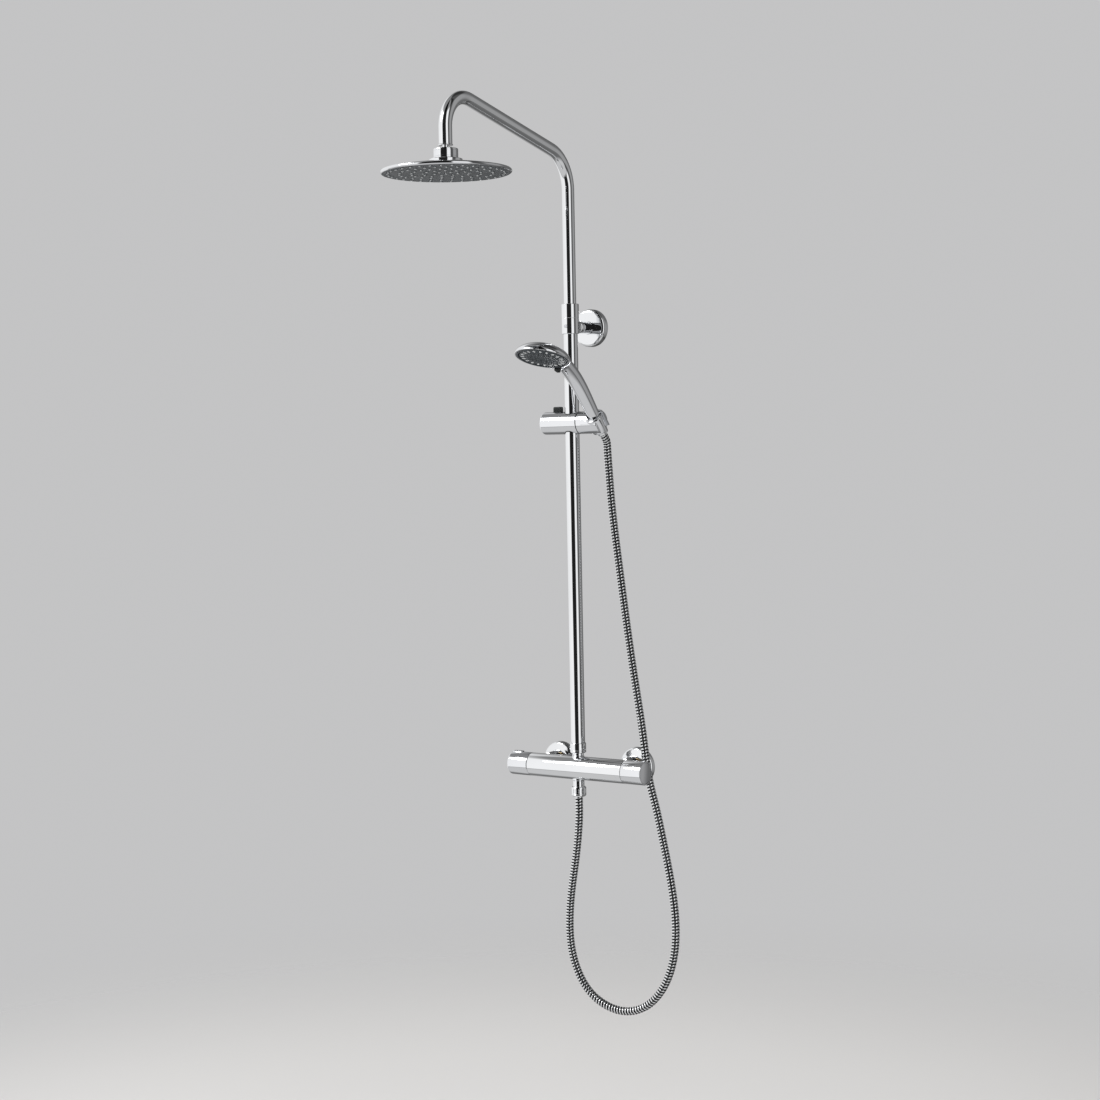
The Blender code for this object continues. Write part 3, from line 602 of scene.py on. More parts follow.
def inlets():
    for side, x in (("hot", -INLET_X), ("cold", INLET_X)):
        centre = Vector((x, 0, 0))
        prism = bmesh.new()
        radius = 15 / math.cos(math.pi / 6) * MM
        bmesh.ops.create_cone(prism, cap_ends=True, segments=6, radius1=radius, radius2=radius,
                              depth=24.5 * MM)
        upright = [e for e in prism.edges if abs(e.verts[0].co.z - e.verts[1].co.z) > 0.01]
        bmesh.ops.bevel(prism, geom=upright, offset=0.5 * MM, segments=3, affect="EDGES")
        prism.transform(axis_matrix(centre - Y * 30.75, -Y))
        hexagon = stored(prism, "hexagon", False)
        barrel = [(0, 43), (15, 43), (17.6, 41.4), (17.6, 20.1), (15, 18.5), (0, 18.5)]
        bore = [(0, 46), (10.8, 46), (10.8, 37), (13.4, 37), (13.4, 16), (0, 16)]
        shape = carved("nut", hexagon, ("INTERSECT", lathe_mesh("barrel", barrel, centre, -Y, 96, 0)),
                       (CUT, lathe_mesh("bore", bore, centre, -Y, 72, 0.3)))
        new_piece(side + "_hex_nut", shape, "chrome", "root", side + "_inlet_nut", 20)
        dome = [(13.4, 12), (15.5, 12), (18.5, 11.7), (21.5, 11), (24, 10)]
        dome += arc(25.7, 5, 5, 66, 0, 10)
        dome += [(30.7, 0), (29.6, 0), (29.6, 4.6), (24.6, 8.4), (13.4, 10.4)]
        lathe(side + "_cover", dome, centre, -Y, "chrome", "root", side + "_escutcheon", 128, 0)
        union = [(13, 30.4), (13, 15), (12, 15), (12, 0.9), (9.4, 0.5), (7, 0.5), (7, 30.4)]
        lathe(side + "_union", union, centre, -Y, "brass", "root", side + "_eccentric_union", 72, 0.4)
        thread = threaded_mesh("thread", 10.3, 1.1, 1.814, -0.6, 12, centre, Y)
        bore = lathe_mesh("bore", disc_outline(7, -20, 10), centre, -Y, 48, 0)
        new_piece(side + "_union_thread", carved("thread", thread, (CUT, bore)), "brass", "root",
                  side + "_eccentric_union", 25)


def hose_outlet():
    spigot = [(10, 39), (10, 30.4), (9.2, 30), (9.2, 20.8), (8, 20.4), (8, 16), (4.5, 16),
              (4.5, 39)]
    lathe("outlet_stub", spigot, BAR, -Z, "chrome", "root", "hose_outlet_spigot", 96, 0.25)
    nut = [(9.9, 46), (10.6, 45.7), (12, 43.8), (12, 42.4), (11.7, 42), (12, 41.6), (12, 32),
           (11.3, 30.5), (10.3, 30.5), (10.3, 43), (7.2, 43), (7.2, 46)]
    shape = lathe_mesh("nut", nut, BAR, -Z, 120, 0.2)
    groove = disc_outline(0.8, 33.4, 40.2)
    flutes = [(CUT, lathe_mesh("flute", groove, BAR + Vector((x, y, 0)), -Z, 12, 0.2))
              for x, y in circle(12.35, 16, 0.5)]
    new_piece("outlet_nut", carved("nut", shape, *flutes), "chrome", "root", "lower_hose_nut", 30)
    ferrule = [(6.5, 48), (6.9, 47.6), (6.9, 42.7), (9.8, 42.7), (9.8, 41.4), (4, 41.4), (4, 48)]
    lathe("outlet_ferrule", ferrule, BAR, -Z, "hose_metal", "root", "lower_hose_ferrule", 72, 0.15)


# ---------------------------------------------------------------- riser, bracket and arm


def riser():
    spigot = [(9.9, 50), (9.9, 29), (9, 28), (9, 20.8), (8, 20.4), (8, 16), (4.5, 16),
              (4.5, 50)]
    lathe("riser_stub", spigot, BAR, Z, "chrome", "root", "riser_spigot", 96, 0.25)
    collar = [(11.8, 41), (12.6, 41), (13, 40.5), (13, 29.6), (12.7, 29.2), (13, 28.8), (13, 26.2),
              (12.3, 25.4), (9.4, 25.4), (9.4, 28), (11.8, 28)]
    lathe("riser_collar", collar, BAR, Z, "chrome", "root", "riser_foot_collar", 96, 0.2)
    lathe("riser_tube", ring_outline(11.5, 10.5, 28.5, 727), BAR, Z, "chrome", "root",
          "lower_riser_tube", 128, 0.3)


def wall_bracket():
    post_line = Vector((0, 0, POST_Z))
    outline = [(10.4, 749), (11.4, 750), (13.5, 750), (14, 749.5), (14, 727.6), (13.75, 727.2),
               (14, 726.8), (14, 702.5), (13.5, 702), (11.8, 702), (11.8, 727.5), (10.4, 727.5)]
    shape = lathe_mesh("collar", outline, BAR, Z, 128, 0.15)
    boss = [(0, 48), (9.2, 48), (10, 48.6), (10, 52.9), (0, 52.9)]
    hollow = lathe_mesh("hollow", disc_outline(11.8, 690, 727.5), BAR, Z, 128, 0)
    shape = carved("collar", shape, ("UNION", lathe_mesh("boss", boss, post_line, -Y, 96, 0)),
                   (CUT, hollow))
    new_piece("riser_clamp", shape, "chrome", "root", "bracket_collar", 30)
    post = [(0, 52), (4, 52), (4, 47.6), (9.2, 47.6), (9.2, 45.8), (10, 45), (10, 5.5),
            (7.4, 5.5), (7.4, 17), (0, 17)]
    lathe("standoff_post", post, post_line, -Y, "chrome", "root", "bracket_post", 96, 0.25)
    lathe("clamp_screw", [(0, 79.6), (2.9, 79.6), (2.9, 76), (0, 76)], post_line, -Y, "steel", "root", None,
          48, 0.3)
    cover = [(10.3, 13), (24.5, 13)] + arc(25.5, 8, 5, 88, 0, 12)
    cover += [(30.5, 0), (29, 0), (29, 8.2), (25.4, 11.5), (10.3, 11.5)]
    lathe("flange_cover", cover, post_line, -Y, "chrome", "root", "bracket_flange_cover", 160, 0)
    plate = [(0, 16), (7, 16), (7, 4), (27, 4), (27, 0), (0, 0)]
    shape = lathe_mesh("plate", plate, post_line, -Y, 128, 0.4)
    holes = [(CUT, lathe_mesh("hole", disc_outline(2.7, -2, 6), post_line + X * x, -Y, 32, 0))
             for x in (-17, 17)]
    rim = lathe_mesh("relief", ring_outline(23.5, 22.5, -1, 0.5), post_line, -Y, 128, 0)
    centre = lathe_mesh("dimple", [(0, 2), (3.2, -1), (0, -1)], post_line, -Y, 48, 0)
    shape = carved("plate", shape, *holes, (CUT, rim), (CUT, centre))
    new_piece("fixing_plate", shape, "steel", "root", "bracket_wall_plate", 30)
    for name, x in (("left", -17), ("right", 17)):
        head = [(0, 7), (2.2, 6.9), (3.4, 6.6), (4.2, 5.6), (4.6, 4.3), (0, 4.3)]
        centre = post_line + X * x
        shape = lathe_mesh("head", head, centre, -Y, 48, 0.2)
        cross = [(CUT, block_mesh("slot", size, centre - Y * 6.9, 0)) for size in ((4.6, 2.4, 0.9),
                                                                                        (0.9, 2.4, 4.6))]
        new_piece(f"wall_screw_head_{name}", carved("head", shape, *cross), "steel", "root",
                  "wall_screw_" + name, 30)
        thread = threaded_mesh("thread", 2.5, 0.75, 1.6, -4.3, 18, centre, Y, 3)
        new_piece(f"wall_screw_thread_{name}", thread, "steel", "root", "wall_screw_" + name, 25)


def arm_route():
    """Centreline: up the riser, a bend outwards, a rising run and a bend down to the head."""
    rise, first, second = math.radians(12.6), 62, 50

    def turn(y_centre, z_centre, radius, start, end, count):
        angles = [start + (end - start) * i / count for i in range(count + 1)]
        return [(0, y_centre - radius * math.sin(a), z_centre + radius * math.cos(a)) for a in angles]

    second_y, second_z = HEAD_Y + second, 1041 - second
    leave_y = second_y + second * math.sin(rise)
    leave_z = second_z + second * math.cos(rise)
    first_y = BAR_Y - first
    corner_z = leave_z - (BAR_Y - leave_y) * math.tan(rise)
    first_z = corner_z - first * math.tan((math.pi / 2 - rise) / 2)
    route = [(0, BAR_Y, 490), (0, BAR_Y, 740)]
    route += turn(first_y, first_z, first, -math.pi / 2, -rise, 28)
    route += turn(second_y, second_z, second, -rise, math.pi / 2, 34)
    return route + [(0, HEAD_Y, 967)]


def arm():
    shape = tube_mesh("arm", arm_route(), 10, 72, 8.8)
    new_piece("arm_tube", shape, "chrome", "arm", "shower_arm", 40)
    connector = [(8, 985), (8, 966.7), (10.3, 966.7), (10.8, 966.2), (10.8, 965.1), (10.3, 964.6),
                 (5.3, 964.6), (5.3, 985)]
    lathe("arm_end_collar", connector, HEAD, Z, "chrome", "arm", "arm_end_connector", 96, 0)
    low = math.degrees(math.acos(3.2 / 9))
    high = math.degrees(math.acos(5 / 9))
    ball = [(5, 30)] + arc(0, 0, 9, high, -low, 24) + [(3.2, 30)]
    lathe("joint_ball", ball, BALL, Z, "chrome", "arm", "swivel_ball", 96, 0)


# ---------------------------------------------------------------- overhead head


def many_turned(name, outline, centres, axis, steps, slot, body, stands_for=None):
    """The same small turned shape at many places, as one mesh."""
    one = lathe_mesh("one", outline, (0, 0, 0), axis, steps, 0)
    base = np.empty(len(one.vertices) * 3)
    one.vertices.foreach_get("co", base)
    base = base.reshape(-1, 3)
    faces = [tuple(p.vertices) for p in one.polygons]
    bpy.data.meshes.remove(one)
    verts, polygons = [], []
    for centre in centres:
        offset = len(verts)
        verts.extend((base + np.array(tuple(Vector(centre) * MM))).tolist())
        polygons.extend(tuple(v + offset for v in face) for face in faces)
    mesh = bpy.data.meshes.new(name)
    mesh.from_pydata(verts, [], polygons)
    return new_piece(name, mesh, slot, body, stands_for, 45)


HEAD_RINGS = ((0, 1), (17, 6), (34, 13), (51.5, 20), (69, 27), (86, 34))


def overhead_head():
    seat, upper = 11.4, 9.45
    nut = [(10.2, 8.3), (16.6, 8.3), (17.7, 7.9), (18.2, 7.1), (18.2, 5.2), (17.9, 4.9), (18.2, 4.6),
           (18.2, -3.4), (17.9, -3.7), (18.2, -4), (18.2, -6.1), (17.6, -6.7), (15.3, -6.7), (15.3, -1.2)]
    nut += arc(0, 0, seat, -6.2, 7.8, 4) + arc(0, 0, upper, 9.2, 31.2, 8)
    lathe("joint_nut", nut, BALL, Z, "chromed_plastic", "overhead_head", "head_swivel_nut", 128, 0)
    base = [(15, -1.5), (15, -7), (23.8, -7), (24.5, -7.7), (24.5, -12.7), (4.5, -12.7)]
    base += arc(0, 0, seat, -66, -7.8, 12)
    lathe("joint_base", base, BALL, Z, "chromed_plastic", "overhead_head", "head_base", 128, 0)
    crown = [(5, 0, 939), (27, 0, 938.6), (58, 0, 935.6), (83, 0, 931.6), (93, 0, 929.6)]
    top = smooth_route(crown, 26)
    shell = [(p[0], p[2]) for p in top] + arc(94.2, 926.8, 2.8, 66, -66, 14)
    shell += [(94.95, 924), (94.95, 926), (90, 928.2), (58, 933.2), (27, 936.4), (5, 936.8)]
    lathe("head_cover", shell, HEAD, Z, "chromed_plastic", "overhead_head", "head_shell", 200, 0)
    plate = [(0, 925.8), (94.8, 925.8), (94.8, 924.5), (94.3, 924), (91.6, 924), (91.3, 924.35),
             (90.9, 924.35), (90.6, 924), (0, 924)]
    lathe("head_face", plate, HEAD, Z, "dark_face", "overhead_head", "face_plate", 200, 0)
    centres = [(x, HEAD_Y + y, 924) for number, (radius, count) in enumerate(HEAD_RINGS)
               for x, y in circle(radius, count, 0.5 * (number % 2))]
    tip = [(0, -1.4), (0.9, -1.35), (1.45, -1.05), (1.6, -0.5), (2.1, 0.25), (2.1, 1), (0, 1)]
    many_turned("head_nozzles", tip, centres, Z, 12, "pale_nozzle", "overhead_head", "nozzle_mat")
    collar = [(3.9, 0.3), (3.2, -0.4), (2.6, -0.4), (2.15, 0.3)]
    many_turned("head_nozzle_rims", collar, centres, Z, 16, "dark_face", "overhead_head")


# ---------------------------------------------------------------- slider and cradle


def ribbed_button(name, size, where, slot, body, stands_for):
    """Upright rounded key with fine ribs round its side and a crowned, ribbed top."""
    count = 192
    half_x, half_y, rounding = size[0] / 2, size[1] / 2, 2.6
    straight_x, straight_y = 2 * (half_x - rounding), 2 * (half_y - rounding)
    bend = rounding * math.pi / 2
    total = 2 * (straight_x + straight_y) + 4 * bend
    outline = []
    for i in range(count):
        s = total * i / count
        travel, x, y, heading = s, -half_x + rounding, -half_y, 0
        for straight in (straight_x, straight_y, straight_x, straight_y):
            along = Vector((math.cos(heading), math.sin(heading)))
            out = Vector((along.y, -along.x))
            if travel <= straight:
                point, normal = Vector((x, y)) + along * travel, out
                break
            travel -= straight
            x, y = x + along.x * straight, y + along.y * straight
            centre = Vector((x, y)) - out * rounding
            if travel <= bend:
                turn = travel / rounding
                normal = out * math.cos(turn) + along * math.sin(turn)
                point = centre + normal * rounding
                break
            travel -= bend
            x, y = centre.x + along.x * rounding, centre.y + along.y * rounding
            heading += math.pi / 2
        outline.append((point, normal, s))
    levels = [(-size[2] / 2, 0.3, 0), (-size[2] / 2 + 0.4, 0, 1), (size[2] / 2 - 2.2, 0, 1),
              (size[2] / 2 - 1.2, 0.25, 1), (size[2] / 2 - 0.5, 0.8, 0.5), (size[2] / 2 - 0.1, 1.9, 0),
              (size[2] / 2, 3.4, 0)]
    mesh = bmesh.new()
    rings = []
    for height, inset, ribs in levels:
        row = []
        for point, normal, s in outline:
            wave = 0.5 - 0.5 * math.cos(math.tau * s / total * 30)
            place = point - normal * (inset + 0.42 * ribs * wave)
            row.append(mesh.verts.new((Vector(where) + Vector((place.x, place.y, height))) * MM))
        rings.append(row)
    skin(mesh, rings)
    new_piece(name, stored(mesh, name), slot, body, stands_for, 50)


def slider():
    outline = [(0, 17), (12, 17), (12, SLIDER_LEFT), (SLIDER_RADIUS - 3.4, SLIDER_LEFT)]
    outline += arc(SLIDER_RADIUS - 3.4, SLIDER_LEFT - 3.4, 3.4, 90, 0, 10)
    outline += [(SLIDER_RADIUS, 0.6 - SLIDER_RIGHT), (SLIDER_RADIUS - 0.6, -SLIDER_RIGHT), (0, -SLIDER_RIGHT)]
    flare = [(0, 20), (14.6, 20), (13, 16), (13, -16), (14.6, -20), (0, -20)]
    shape = carved("slider", lathe_mesh("slider", outline, SLIDER, -X, 160, 0),
                   (CUT, lathe_mesh("hole", flare, SLIDER, Z, 128, 0.4)),
                   (CUT, block_mesh("slot", (15.7, 10.7, 16), KEY + Z * 16, 1.2)))
    new_piece("slider_shell", shape, "chromed_plastic", "slider", "slider_body", 30)
    cap = [(0, SLIDER_LEFT - 0.2)] + arc(10.6, SLIDER_LEFT - 1.3, 1, 90, 0, 5) + [(11.7, SLIDER_LEFT - 3),
                                                                                 (0, SLIDER_LEFT - 3)]
    lathe("slider_cap", cap, SLIDER, -X, "chromed_plastic", "slider", "slider_end_cap", 96, 0)
    lathe("slider_washer", ring_outline(15.5, 4, 16.2, 17), SLIDER, X, "black_plastic", "slider",
          "friction_washer", 96, 0.2)
    # Black rings at both ends of the riser hole: painted shade for the dark gap where the riser passes
    # through the slider.
    for name, low in (("top", 13.2), ("bottom", -14.6)):
        lathe("slider_hole_shade_ring_" + name, ring_outline(12.9, 11.8, low, low + 1.4), SLIDER, Z, "black_plastic",
              "slider_guide", None, 96, 0.2)
    lathe("slider_bearing", ring_outline(12.6, 11.8, -13, 13), SLIDER, Z, "white_plastic", "slider_guide",
          "slider_bush", 96, 0.2)
    head = [(0, 29), (4.9, 29), (5.5, 28.4), (5.5, 25.3), (3, 25.3), (3, 17.4), (0, 17.4)]
    socket = bmesh.new()
    bmesh.ops.create_cone(socket, cap_ends=True, segments=6, radius1=0.0029, radius2=0.0029, depth=0.004)
    socket.transform(axis_matrix(SLIDER + X * 29, X))
    shape = carved("screw", lathe_mesh("screw", head, SLIDER, X, 64, 0),
                   (CUT, stored(socket, "socket", False)))
    new_piece("cradle_screw", shape, "steel", "slider", "cradle_axle_screw", 30)
    ribbed_button("slider_key", (15, 10, 17), KEY + Z * 18, "black_plastic",
                  "release_button", "slider_button")


def cradle():
    outline = [(0, 57)] + arc(SLIDER_RADIUS - 2.4, 54.6, 2.4, 90, 0, 7)
    outline += [(SLIDER_RADIUS, 17.9), (SLIDER_RADIUS - 0.6, 17.3), (0, 17.3)]
    grip = [(0, 14)] + arc(14.6, 12.6, 1.4, 90, 0, 5) + arc(14.6, -12.6, 1.4, 0, -90, 5) + [(0, -14)]
    taper = [(0, 20), (12.5, 20), (12.3, 13), (10.4, -14), (10.1, -22), (0, -22)]
    hole = [(0, 42), (5.9, 42), (5.9, 25), (3.3, 25), (3.3, 16), (0, 16)]
    slot = block_mesh("slot", (20, 16, 44), CRADLE + X * 10, 0, GRIP_AXIS)
    shape = carved("cradle", lathe_mesh("stub", outline, SLIDER, X, 160, 0),
                   ("UNION", lathe_mesh("grip", grip, CRADLE, GRIP_AXIS, 128, 0)),
                   (CUT, lathe_mesh("taper", taper, CRADLE, GRIP_AXIS, 128, 0.3)),
                   (CUT, slot),
                   (CUT, lathe_mesh("hole", hole, SLIDER, X, 48, 0)))
    new_piece("cradle_shell", shape, "chromed_plastic", "handset_cradle", "cradle", 30)


# ---------------------------------------------------------------- handset


HANDLE_ROUTE = ((-81.7, 578.1), (-104, 603), (-128, 627), (-156, 648), (-185, 661))
DOME = ((0, 21), (12, 20.4), (24, 18.2), (34, 13.8), (40.5, 8.6), (43.4, 4), (44, 0))


def polyline_distance(points, line):
    """Distance of every point to a polyline, with the place along it from 0 to 1."""
    best = np.full(len(points), 1e9)
    where = np.zeros(len(points))
    for i in range(len(line) - 1):
        a, d = line[i], line[i + 1] - line[i]
        t = np.clip((points - a) @ d / (d @ d), 0, 1)
        far = np.linalg.norm(points - a - t[:, None] * d, axis=1)
        nearer = far < best
        best[nearer] = far[nearer]
        where[nearer] = (i + t[nearer]) / (len(line) - 1)
    return best, where


def handset_shape():
    """Handle and domed head blended into one smooth form, then hollowed for the face."""
    start = CRADLE + GRIP_AXIS * 14.3
    route = [tuple(start)] + [(48, y, z) for y, z in HANDLE_ROUTE]
    inner_end = FACE + FACE_UP * 9.5 + FACE_REAR * 12
    line = smooth_route(route + [tuple(inner_end)], 48)
    dome = smooth_route([(r, 0, h) for r, h in DOME], 40, (1, 0, 0), (0, 0, -1))[:, (0, 2)]
    dome_line = np.vstack((dome[:1] * np.array([-1, 1]) - np.array([8, 0]), dome,
                           dome[-1:] - np.array([0, 14])))

    def field(p):
        far, along = polyline_distance(p, line)
        handle = far - 11 * (0.88 + 0.22 * np.sin(math.pi * along * 10 / 11))
        handle = np.maximum(handle, -(p - np.array(start)) @ np.array(GRIP_AXIS))
        local = p - np.array(FACE)
        h = local @ np.array(FACE_UP)
        r = np.linalg.norm(local - h[:, None] * np.array(FACE_UP), axis=1)
        flat = np.stack((r, h), axis=1)
        edge, _ = polyline_distance(flat, dome_line)
        roof = np.interp(r, dome[:, 0], dome[:, 1], right=-1e3)
        inside = (r < 44) & (h < roof)
        edge = np.where(inside, -edge, edge)
        k = 1.6
        blend = np.maximum(k - np.abs(edge + h), 0) / k
        head = np.maximum(edge, -h) + blend ** 2 * k / 4
        k = 15
        blend = np.maximum(k - np.abs(handle - head), 0) / k
        joined = np.minimum(handle, head) - blend ** 2 * k / 4
        return np.maximum(joined, -h - np.maximum(r - 44, 0))

    mesh = bmesh.new()
    radii = 11 * (0.88 + 0.22 * np.sin(math.pi * np.linspace(0, 10 / 11, len(line))))
    tube = tube_mesh("tube", [tuple(p) for p in line], radii, 40)
    head = lathe_mesh("dome", [tuple(p) for p in dome] + [(0, 0)], FACE, FACE_UP, 120, 0)
    mesh.from_mesh(tube)
    mesh.from_mesh(head)
    obj = put("joined", stored(mesh, "joined", False))
    remesh = obj.modifiers.new("Remesh", "REMESH")
    remesh.mode = "VOXEL"
    remesh.voxel_size = 1.35 * MM
    bpy.context.view_layer.update()
    shaped = bpy.data.meshes.new_from_object(obj.evaluated_get(bpy.context.evaluated_depsgraph_get()))
    bpy.data.objects.remove(obj)
    points = np.empty(len(shaped.vertices) * 3)
    shaped.vertices.foreach_get("co", points)
    points = points.reshape(-1, 3) / MM
    edges = np.empty(len(shaped.edges) * 2, int)
    shaped.edges.foreach_get("vertices", edges)
    edges = edges.reshape(-1, 2)
    degree = np.bincount(edges.ravel(), minlength=len(points)).astype(float)[:, None]
    step = 0.05
    for turn in range(7):
        if turn < 5:
            total = np.zeros_like(points)
            np.add.at(total, edges[:, 0], points[edges[:, 1]])
            np.add.at(total, edges[:, 1], points[edges[:, 0]])
            points = points * 0.5 + total / degree * 0.5
        value = field(points)
        slope = np.stack([field(points + step * np.eye(3)[c]) - field(points - step * np.eye(3)[c])
                          for c in range(3)], axis=1) / (2 * step)
        size = np.maximum(np.sum(slope ** 2, axis=1), 0.2)
        points = points - np.clip(value / size, -3, 3)[:, None] * slope
    shaped.vertices.foreach_set("co", (points * MM).ravel())
    shaped.update()
    recess = [(0, 9), (34, 9), (34, 4.2), (41.3, 4.2), (41.3, -8), (0, -8)]
    return carved("handset", shaped, (CUT, lathe_mesh("recess", recess, FACE, FACE_UP, 160, 0)))


def handset():
    new_piece("handset_body", handset_shape(), "chromed_plastic", "handset", "handset_shell", 38)
    face = [(0, 3.6), (36.6, 3.6), (36.6, 0.7), (36.2, 0.2), (35.5, 0), (27, 0.45), (26.2, 0.3),
            (25.4, 0), (23.8, 0), (23.3, 0.45), (22.6, 0.45), (22.1, 0), (8, 0.3), (7.6, 0.6), (0, 0.7)]
    lathe("handset_face", face, FACE, FACE_UP, "dark_face", "handset", "spray_face", 160, 0)
    petals = bmesh.new()
    place = axis_matrix(FACE, FACE_UP)
    for i in range(20):
        turn = math.tau * (i + 0.5) / 20
        spin = Matrix.Rotation(turn, 4, "Z") @ Matrix.Translation((31.4 * MM, 0, 0.3 * MM))
        part = bmesh.new()
        bmesh.ops.create_uvsphere(part, u_segments=20, v_segments=10, radius=1)
        for vert in part.verts:
            x, y, z = vert.co
            wide = 1 + 0.28 * x
            vert.co = (3.5 * x * MM, 1.95 * y * wide * MM, max(-0.9, min(0.7, z * 1.15)) * MM)
        part.transform(place @ spin)
        copy = stored(part, "petal", False)
        petals.from_mesh(copy)
        bpy.data.meshes.remove(copy)
    petals = stored(petals, "petals", False)
    new_piece("handset_petals", petals, "pale_nozzle", "handset", "spray_nozzle_ring", 45)
    spin = place.to_3x3()
    centres = [FACE + spin @ Vector((x, y, 0)) for x, y in circle(12, 8) + circle(18.5, 14)]
    dot = [(0, -0.55), (0.7, -0.45), (0.95, 0.3), (0.95, 1), (0, 1)]
    many_turned("handset_jets", dot, centres, FACE_UP, 12, "rubber", "handset")
    nut = [(8.7, 14), (11, 14), (11.8, 13.3), (11.78, 12.1), (11.4, 11.7), (11.7, 11.2), (9.8, -21.4),
           (9.3, -22), (7.2, -22), (7.2, -5.9), (8.7, -5.9)]
    lathe("cone_nut", nut, CRADLE, GRIP_AXIS, "chrome", "handset", "hose_cone_nut", 96, 0)
    ferrule = [(8.4, -3.3), (8.4, -5.6), (6.9, -5.6), (6.9, -22.4), (6.6, -22.7), (6.9, -23), (6.9, -23.6),
               (6.5, -24), (4, -24), (4, -3.3)]
    lathe("handset_ferrule", ferrule, CRADLE, GRIP_AXIS, "hose_metal", "handset",
          "upper_hose_ferrule", 72, 0)
    ring = [(37.4, 3.8), (40.6, 3.8), (40.6, 0.2)] + arc(39.9, -0.1, 0.7, 0, -90, 4)
    ring += [(38.2, -0.8), (37.4, 0)]
    lathe("selector_trim", ring, FACE, FACE_UP, "dark_face", "spray_selector", "selector_ring", 160, 0)
    lever = FACE + FACE_REAR * 44 - FACE_UP * 3
    block("selector_tab", (7, 10, 5), lever, 1.6, "black_plastic", "spray_selector", None, FACE_UP)
    for i in range(3):
        block(f"selector_rib_{i}", (5.6, 0.7, 0.8), lever - FACE_UP * 2.5 + FACE_REAR * (i * 2 - 0.6), 0.25,
              "black_plastic", "spray_selector", None, FACE_UP)


# ---------------------------------------------------------------- pieces kept from the model

KEPT = {
    "thermostatic_cartridge": "brass", "flow_cartridge": "brass", "hot_filter_washer": "rubber",
    "cold_filter_washer": "rubber", "hot_check_valve": "red_plastic", "cold_check_valve": "blue_plastic",
    "lower_hose_washer": "rubber", "temperature_knob_screw": "steel", "flow_knob_screw": "steel",
    "telescope_guide": "white_plastic", "ball_seat_ring": "white_plastic", "slider_button_spring": "steel",
    "lock_pad": "black_plastic", "upper_hose_washer": "rubber"}


def kept_pieces():
    for name, slot in KEPT.items():
        obj = frame["nodes"][name]
        obj.data.materials.clear()
        obj.data.materials.append(MATERIALS[slot])
        obj.data.polygons.foreach_set("material_index", [0] * len(obj.data.polygons))


# ---------------------------------------------------------------- studio


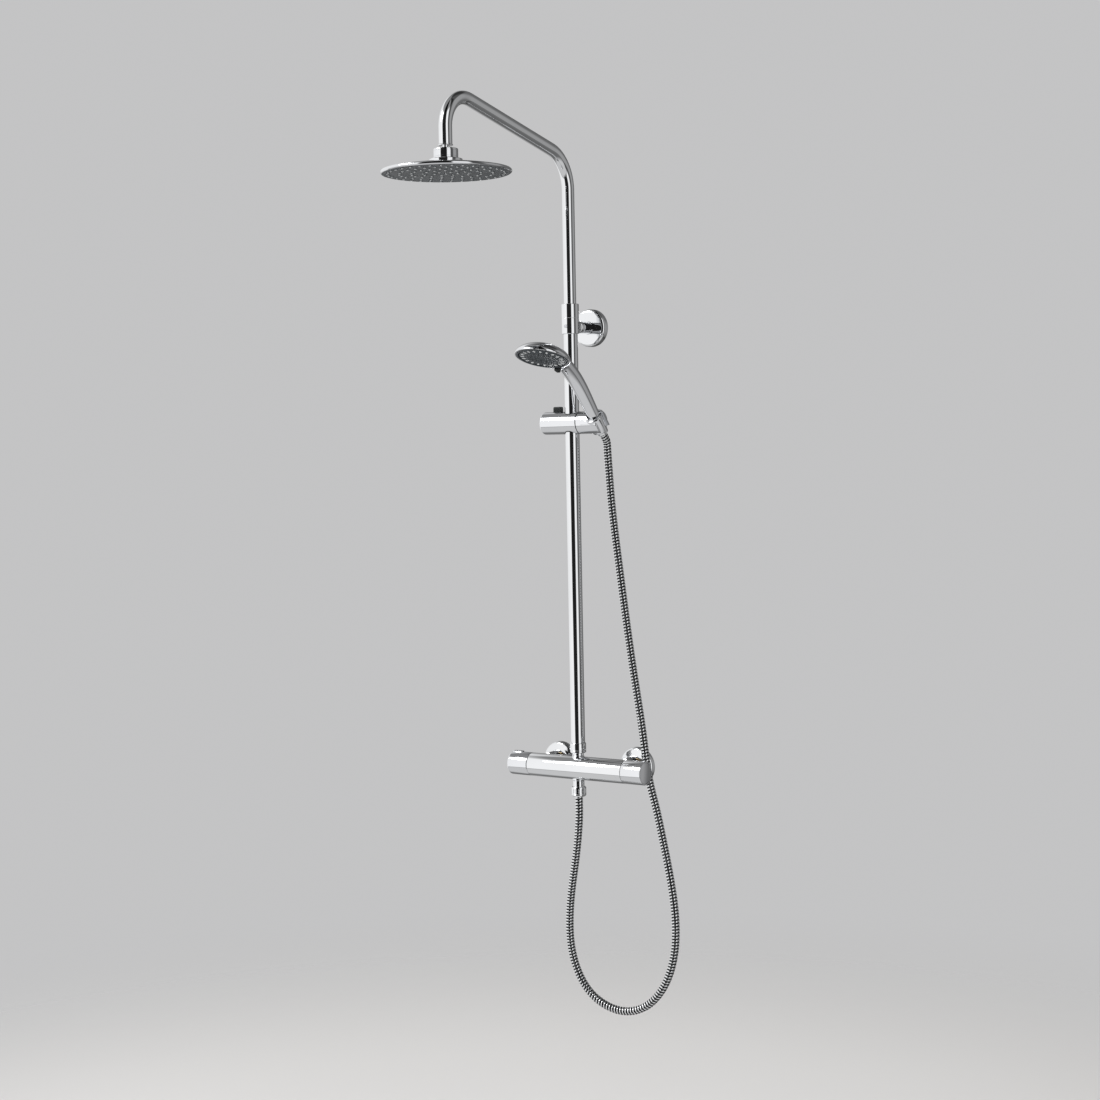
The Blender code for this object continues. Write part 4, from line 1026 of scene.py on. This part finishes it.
def studio():
    """A grey room, paler in front, with one tall dark and one tall bright zone, for the chrome."""
    world = bpy.data.worlds.new("studio")
    bpy.context.scene.world = world
    world.use_nodes = True
    tree = world.node_tree
    links, nodes = tree.links, tree.nodes
    background = nodes["Background"]
    where = nodes.new("ShaderNodeTexCoord")
    split = nodes.new("ShaderNodeSeparateXYZ")
    links.new(where.outputs["Generated"], split.inputs[0])

    def maths(operation, a, b=None):
        node = nodes.new("ShaderNodeMath")
        node.operation = operation
        for socket, value in zip(node.inputs, (a, b)):
            if isinstance(value, (int, float)):
                socket.default_value = value
            elif value is not None:
                links.new(value, socket)
        return node.outputs[0]

    def stops(value, points):
        node = nodes.new("ShaderNodeValToRGB")
        elements = node.color_ramp.elements
        while len(elements) > 1:
            elements.remove(elements[-1])
        elements[0].position = points[0][0]
        elements[0].color = (points[0][1],) * 3 + (1,)
        for position, grey in points[1:]:
            elements.new(position).color = (grey,) * 3 + (1,)
        links.new(value, node.inputs["Fac"])
        return node.outputs["Color"]

    def mixed(factor, one, two, kind):
        node = nodes.new("ShaderNodeMix")
        node.data_type = "RGBA"
        node.blend_type = kind
        if factor is None:
            node.inputs[0].default_value = 1
        else:
            links.new(factor, node.inputs[0])
        links.new(one, node.inputs[6])
        if isinstance(two, tuple):
            node.inputs[7].default_value = two
        else:
            links.new(two, node.inputs[7])
        return node.outputs[2]

    turn = maths("ARCTAN2", split.outputs["X"], maths("MULTIPLY", split.outputs["Y"], -1))
    turn = maths("ADD", maths("DIVIDE", turn, math.tau), 0.5)
    lift = maths("ADD", maths("DIVIDE", maths("ARCSINE", split.outputs["Z"]), math.pi), 0.5)
    around = [(-180, 0.14), (-150, 0.12), (-137, 0.45), (-120, 0.90), (-58, 1), (-15, 1.05), (-11, 0.015),
              (46, 0.015), (50, 1), (78, 1), (84, 0.10), (102, 0.08), (114, 0.34), (142, 0.34),
              (156, 0.16), (180, 0.14)]
    sides = stops(turn, [((a + 180) / 360, v) for a, v in around])
    height = [(-90, 0.6), (-32, 0.62), (-29, 0.30), (-26, 1), (42, 1), (50, 0.28), (90, 0.25)]
    scale = stops(lift, [((a + 90) / 180, v) for a, v in height])
    room = mixed(None, sides, scale, "MULTIPLY")
    ground = stops(maths("ADD", maths("DIVIDE", split.outputs["Y"], 2), 0.5),
                   [(0, 0.62), (0.52, 0.62), (0.68, 0.16), (1, 0.12)])
    room = mixed(spread(tree, lift, 0, 1, (90 - 31) / 180, (90 - 40) / 180), room, ground, "MIX")
    path = nodes.new("ShaderNodeLightPath")
    shown = mixed(path.outputs["Is Camera Ray"], room, (0.55, 0.55, 0.555, 1), "MIX")
    links.new(shown, background.inputs["Color"])
    background.inputs["Strength"].default_value = 1

    def lamp(name, size, energy, place, target, mirrored):
        data = bpy.data.lights.new(name, "AREA")
        data.shape = "RECTANGLE"
        data.size, data.size_y = size
        data.energy = energy
        obj = put(name, data)
        obj.location = place
        obj.visible_glossy = mirrored
        obj.rotation_euler = (Vector(target) - Vector(place)).to_track_quat("-Z", "Y").to_euler()

    lamp("key", (1.2, 1.2), 40, (-1.9, -2.2, 2.6), (0, -0.2, 0.4), True)
    lamp("fill", (0.9, 1.6), 12, (2.4, -1.2, 1.6), (0, -0.2, 0.4), False)
    lamp("overhead", (3, 3), 110, (0, -0.6, 3.2), (0, -0.6, -0.78), False)

    shape = bmesh.new()
    bmesh.ops.create_circle(shape, cap_ends=True, segments=96, radius=2.6)
    floor = put("floor", stored(shape, "floor", False))
    floor.location = (0, -0.2, -0.78)
    floor.visible_glossy = False
    mat, leaf, shader = new_material("floor", (0.72, 0.71, 0.70), 0.7)
    place = leaf.nodes.new("ShaderNodeTexCoord")
    length = leaf.nodes.new("ShaderNodeVectorMath")
    length.operation = "LENGTH"
    leaf.links.new(place.outputs["Object"], length.inputs[0])
    fade = spread(leaf, length.outputs["Value"], 1, 0, 1.1, 2.55)
    fade.node.interpolation_type = "SMOOTHSTEP"
    leaf.links.new(fade, shader.inputs["Alpha"])
    floor.data.materials.append(mat)
    view = bpy.context.scene.view_settings
    view.view_transform = "Standard"
    view.look = "None"


valve_body()
bar_controls()
inlets()
hose_outlet()
riser()
wall_bracket()
arm()
overhead_head()
slider()
cradle()
handset()
kept_pieces()
studio()
